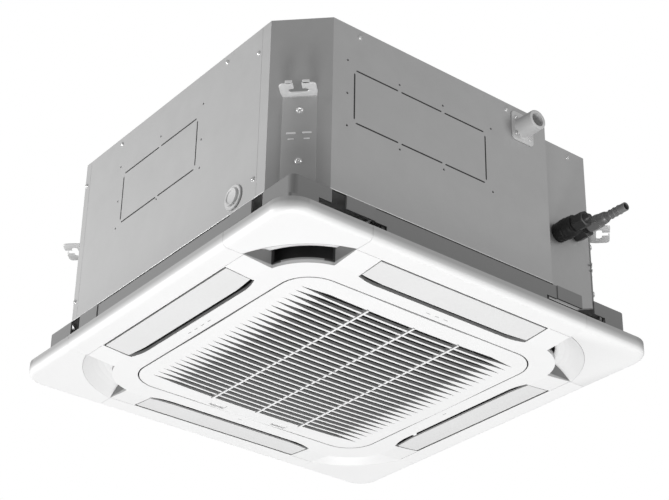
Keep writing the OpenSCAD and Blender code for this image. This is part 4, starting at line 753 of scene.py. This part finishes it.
def bracket_strip(near_edge):
    """The upright plate and the bend, as a section in X and Z pulled along Y from one edge."""
    outer = arc(bend_r, hanger_t - bend_r, bend_r, 180, 90, bend_steps)
    inner = arc(bend_r, hanger_t - bend_r, bend_r - hanger_t, 90, 180, bend_steps)
    section = [(0, plate_low)] + outer + inner + [(hanger_t, plate_low)]
    strip = plate(section, -hanger_w / 2, -near_edge)
    bmesh.ops.transform(strip, matrix=to_front, verts=strip.verts)
    return soften(strip, steel_edge)


def bracket_leg():
    """The leg with its mouth and pocket, as one outline that starts and ends at the bend."""
    side = [(bend_r, hanger_w / 2), (widened_at, leg_w / 2)]
    side += arc(reach - tip_r, leg_w / 2 - tip_r, tip_r, 90, 0, 6)
    side += [(reach, mouth + lip_r)] + arc(reach - lip_r, mouth + lip_r, lip_r, 0, -90, 3)
    side += arc(pocket_at + pocket_r + lip_r, mouth + lip_r, lip_r, 270, 180, 3)
    side += arc(pocket_at, pocket - pocket_r, pocket_r, 0, 180, 10)
    whole = side + [(x, -y) for x, y in reversed(side)]
    return soften(plate(whole, 0, hanger_t), steel_edge)


def bracket_ears():
    """Two upturned lips at the tips of the leg."""
    ears = bmesh.new()
    for side in (-1, 1):
        ear = plate(rounded_outline(ear_t / 2, ear_w / 2, ear_t / 2 - 0.1, 3), 0.2, ear_top)
        join(ears, soften(ear, ear_edge), shift(reach - ear_t / 2, side * ear_aside, 0))
    return ears


def bracket_lances():
    """Two pairs of dashes pressed out of the plate."""
    lances = bmesh.new()
    for side in (-1, 1):
        for height, length, width in lance_rows:
            dash = plate(rounded_outline(width / 2, length / 2, width / 2 - 0.05, 5), 0, lance_rise)
            at = shift(hanger_t - 0.2, side * lance_aside, height) @ to_outside
            join(lances, soften(dash, lance_edge), at)
    return lances


print("bracket plates reach down to", round(plate_low, 1), "mm")

# %% [markdown]
# A bracket stands on each cut-off corner of the casing. The right one sits further back along
# its corner, and its strip stops at the pipe recess.

# %% Hanging brackets
corner_d = 362.39
corner_gap = 0.05
right_aside, right_near_edge = 16, -10
for angle, name in ((45, "far"), (135, "left"), (225, "near"), (315, "right")):
    right = name == "right"
    at = Matrix.Rotation(math.radians(angle), 4, "Z")
    at = at @ shift(corner_d + corner_gap, right_aside if right else 0, 0)
    strip = bracket_strip(right_near_edge if right else -hanger_w / 2)
    dress(f"bracket_strip_{name}", strip, "casing", "zinc_sheet", ["hanger_brackets"], at)
    # The leg, lips and lances take the near-white finish, which is painted light
    for part, make in (("leg", bracket_leg), ("ears", bracket_ears), ("lances", bracket_lances)):
        dress(f"bracket_{part}_{name}", make(), "casing", "bracket_steel", ["hanger_brackets"], at)
print("brackets stand", corner_d, "mm from the middle")

# %% [markdown]
# A duct knock-out is a plate that short bridges still hold in the sheet. The photograph shows its
# slits as black lines about 2 mm wide, and the frame has cuts of 1.4 mm there. So a thin near-black
# strip of painted shade, in the foam finish, lies over every slit and gives it that width. The bridges
# stay free between them.

# %% Slits of the duct knock-outs
knock_low = -24.5
knock_h = 80.5
bridge = 6
slit_look = 2.1
slit_sunk, slit_proud = 0.3, 0.15
casing_half = -sheet_x

# Where a knock-out starts along its side, how wide it is and how many plates it has
knockouts = {"front": (-192, 226, 3), "left": (-65.5, 183, 2)}


def slit_strips(start, width, plates):
    """Near-black strips of painted shade round a knock-out, in its own plane."""
    strips = bmesh.new()
    step = width / plates

    def strip(across, up, long_across, long_up):
        outline = rounded_outline(long_across / 2, long_up / 2, slit_look / 2 - 0.05, 4)
        join(strips, plate(outline, -slit_sunk, slit_proud), shift(across, up, 0))

    for index in range(plates):
        middle = start + (index + 0.5) * step
        for up in (knock_low, knock_low + knock_h):
            strip(middle, up, step - bridge, slit_look)
    for across in (start, start + width):
        strip(across, knock_low + knock_h / 2, slit_look, knock_h - 2 * bridge)
    return strips


front_at = shift(0, -casing_half, 0) @ to_front
# The grey_foam finish on these strips is painted shade for the dark slits
dress("slits_front", slit_strips(*knockouts["front"]), "casing", "grey_foam", (), front_at)
start, width, plates = knockouts["left"]
left_at = Matrix.Rotation(math.radians(-90), 4, "Z") @ front_at
left_strips = slit_strips(-start - width, width, plates)
dress("slits_left", left_strips, "casing", "grey_foam", (), left_at)
print("knock-outs:", len(knockouts))

# %% [markdown]
# Every screw has a domed head with a washer face. The shape of its recess is too small to tell
# in the photograph, so a plain dimple stands for it. The dome turns the lamps into one small
# bright spot, which is what the eye takes for a screw.

# %% A screw head
dimple_share, dome_share, washer_share = 0.34, 0.80, 0.98
dome_low_share = 0.32
head_steps = 20


def head(radius, rise):
    """A dome on a washer face, with a dimple in its middle."""
    dimple = dimple_share * radius
    section = [(0, 0.65 * rise), (0.6 * dimple, 0.65 * rise), (dimple, 0.97 * rise)]
    for degrees in range(30, 91, 12):
        slope = math.radians(degrees)
        height = dome_low_share + (1 - dome_low_share) * math.cos(slope)
        section.append((radius * dome_share * math.sin(slope), rise * height))
    section += [(radius * 0.82, 0.24 * rise), (radius * washer_share, 0.2 * rise), (radius, 0), (0, 0)]
    return turned(section, steps=head_steps)


sample = head(radius=4, rise=2)
print("head faces:", len(sample.faces))
sample.free()

# %% [markdown]
# The frame keeps all the screws of one kind in a single node. To find each of them, the node's
# loose triangles are merged on a copy, and the copy is walked along its edges from corner to
# corner until a whole solid has been met.

# %% Loose solids of a node
merge_distance = 0.002 * mm


def loose_solids(name):
    """Corner points of each separate solid of a node, found on a merged copy."""
    copy = bmesh.new()
    copy.from_mesh(nodes[name].data)
    bmesh.ops.remove_doubles(copy, verts=copy.verts, dist=merge_distance)
    found = set()
    solids = []
    for first in copy.verts:
        if first in found:
            continue
        found.add(first)
        waiting = [first]
        points = []
        while waiting:
            vert = waiting.pop()
            points.append(vert.co.copy())
            for edge in vert.link_edges:
                other = edge.other_vert(vert)
                if other not in found:
                    found.add(other)
                    waiting.append(other)
        solids.append(points)
    copy.free()
    return solids


print("screws of the casing:", len(loose_solids("casing_screws")))

# %% [markdown]
# Each head is set where the frame has one. The middle of a solid and the direction in which it
# is flattest give the head's place and its axis.

# %% Screws in their places
clearly_less = 0.1 * mm


def span(points, direction):
    """The least and the greatest distance of the points along a direction."""
    along = [point.dot(direction) for point in points]
    return min(along), max(along)


def outward_axis(points):
    """The direction away from the casing's middle, out of eight, in which a solid is flattest."""
    middle = sum(points, Vector()) / len(points)
    best = None
    for degrees in range(0, 360, 45):
        out = Vector((math.cos(math.radians(degrees)), math.sin(math.radians(degrees)), 0))
        low, high = span(points, out)
        outward = middle.x * out.x + middle.y * out.y
        if outward > 0 and (best is None or high - low < best[0] - clearly_less):
            best = (high - low, out)
    return best[1]


def set_heads(name, body):
    """One piece with a domed head for every loose solid of a screw node."""
    heads = bmesh.new()
    radii = []
    for points in loose_solids(name):
        out = outward_axis(points)
        aside = Vector((-out.y, out.x, 0))
        foot, top = span(points, out)
        low, high = span(points, Vector((0, 0, 1)))
        place = out * foot + aside * sum(span(points, aside)) / 2
        place.z = (high + low) / 2
        radius = (high - low) / 2 / mm
        radii.append(radius)
        to_out = out.to_track_quat("Z", "Y").to_matrix().to_4x4()
        join(heads, head(radius, (top - foot) / mm), Matrix.Translation(place) @ to_out)
    dress(name + "_heads", heads, body, "bright_screws", [name])
    print(name, len(radii), "heads, radius", round(min(radii), 1), "to", round(max(radii), 1), "mm")


set_heads("casing_screws", "casing")
set_heads("outlet_screws", "casing")

# %% [markdown]
# The side sheets end in a folded hem just above the panel's collar. The photograph shows it as a thin
# bright line with a black one under it. The hem takes the near-white bracket finish, a painted
# highlight along the sheet's lower edge. The black one is painted shade for the gap under the hem,
# which is read as the edge of the foam that seals the casing on the panel. Both run round the whole
# casing, so one outline is walked once and a thin band is pulled along it.

# %% Folded hem of the casing
hem_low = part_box("side_left")[0].z / mm
hem_edge = 0.3
corner_leg = 57.5
recess_x = 149.5
cut = casing_half - corner_leg
casing_outline = [
    (-casing_half, -cut), (-cut, -casing_half), (recess_x, -casing_half), (recess_x, recess_y),
    (casing_half, recess_y), (casing_half, cut), (cut, casing_half), (-cut, casing_half),
    (-casing_half, cut)]


def band(outline, inside, outside, low, high):
    """A closed ring of rectangular section along a plan outline."""
    shape = bmesh.new()
    rings = []
    for offset, height in ((inside, low), (outside, low), (outside, high), (inside, high)):
        ring = []
        for index, corner in enumerate(outline):
            here = Vector(corner)
            come = (here - Vector(outline[index - 1])).normalized()
            leave = (Vector(outline[(index + 1) % len(outline)]) - here).normalized()
            out_come, out_leave = Vector((come.y, -come.x)), Vector((leave.y, -leave.x))
            aside = (out_come + out_leave) / (1 + out_come.dot(out_leave))
            moved = here + aside * offset
            ring.append(shape.verts.new((moved.x * mm, moved.y * mm, height * mm)))
        rings.append(ring)
    return close_rings(shape, rings)


hem = band(casing_outline, inside=-0.2, outside=0.9, low=hem_low + 0.2, high=hem_low + 1.3)
# The hem's near-white finish is a painted highlight
dress("hem_fold_highlight", soften(hem, hem_edge), "casing", "bracket_steel")
# A near-black band under the hem: painted shade for the gap, read as the sealing foam
seal_shade = band(casing_outline, inside=-0.4, outside=0.3, low=hem_low - 0.9, high=hem_low + 0.2)
dress("hem_seal_shade", seal_shade, "casing", "grey_foam")
print("hem at", round(hem_low, 1), "mm")

# %% [markdown]
# The filter is a woven net, not a sheet. Two layers of thin threads stand for the weave, far
# enough apart to be counted in a close view.

# %% Filter net
thread_pitch = 3.2 * mm
thread = 0.55 * mm
first_layer, layer_rise = 0.6 * thread, 0.7 * thread
net_low, net_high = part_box("filter_net")
net_w = net_high.x - net_low.x
count = int(net_w / thread_pitch)
net = bmesh.new()
for index in range(1, count):
    along = net_low.x + index * thread_pitch
    for layer in (0, 1):
        size = (thread, net_w, thread) if layer else (net_w, thread, thread)
        middle = (along, 0) if layer else (0, along)
        height = net_low.z + first_layer + layer * layer_rise
        bar = bmesh.ops.create_cube(net, size=1)["verts"]
        bmesh.ops.scale(net, vec=size, verts=bar)
        bmesh.ops.translate(net, verts=bar, vec=(*middle, height))
dress("filter_weave", net, "filter", "filter_mesh", ["filter_net"])
print("threads:", 2 * (count - 1))
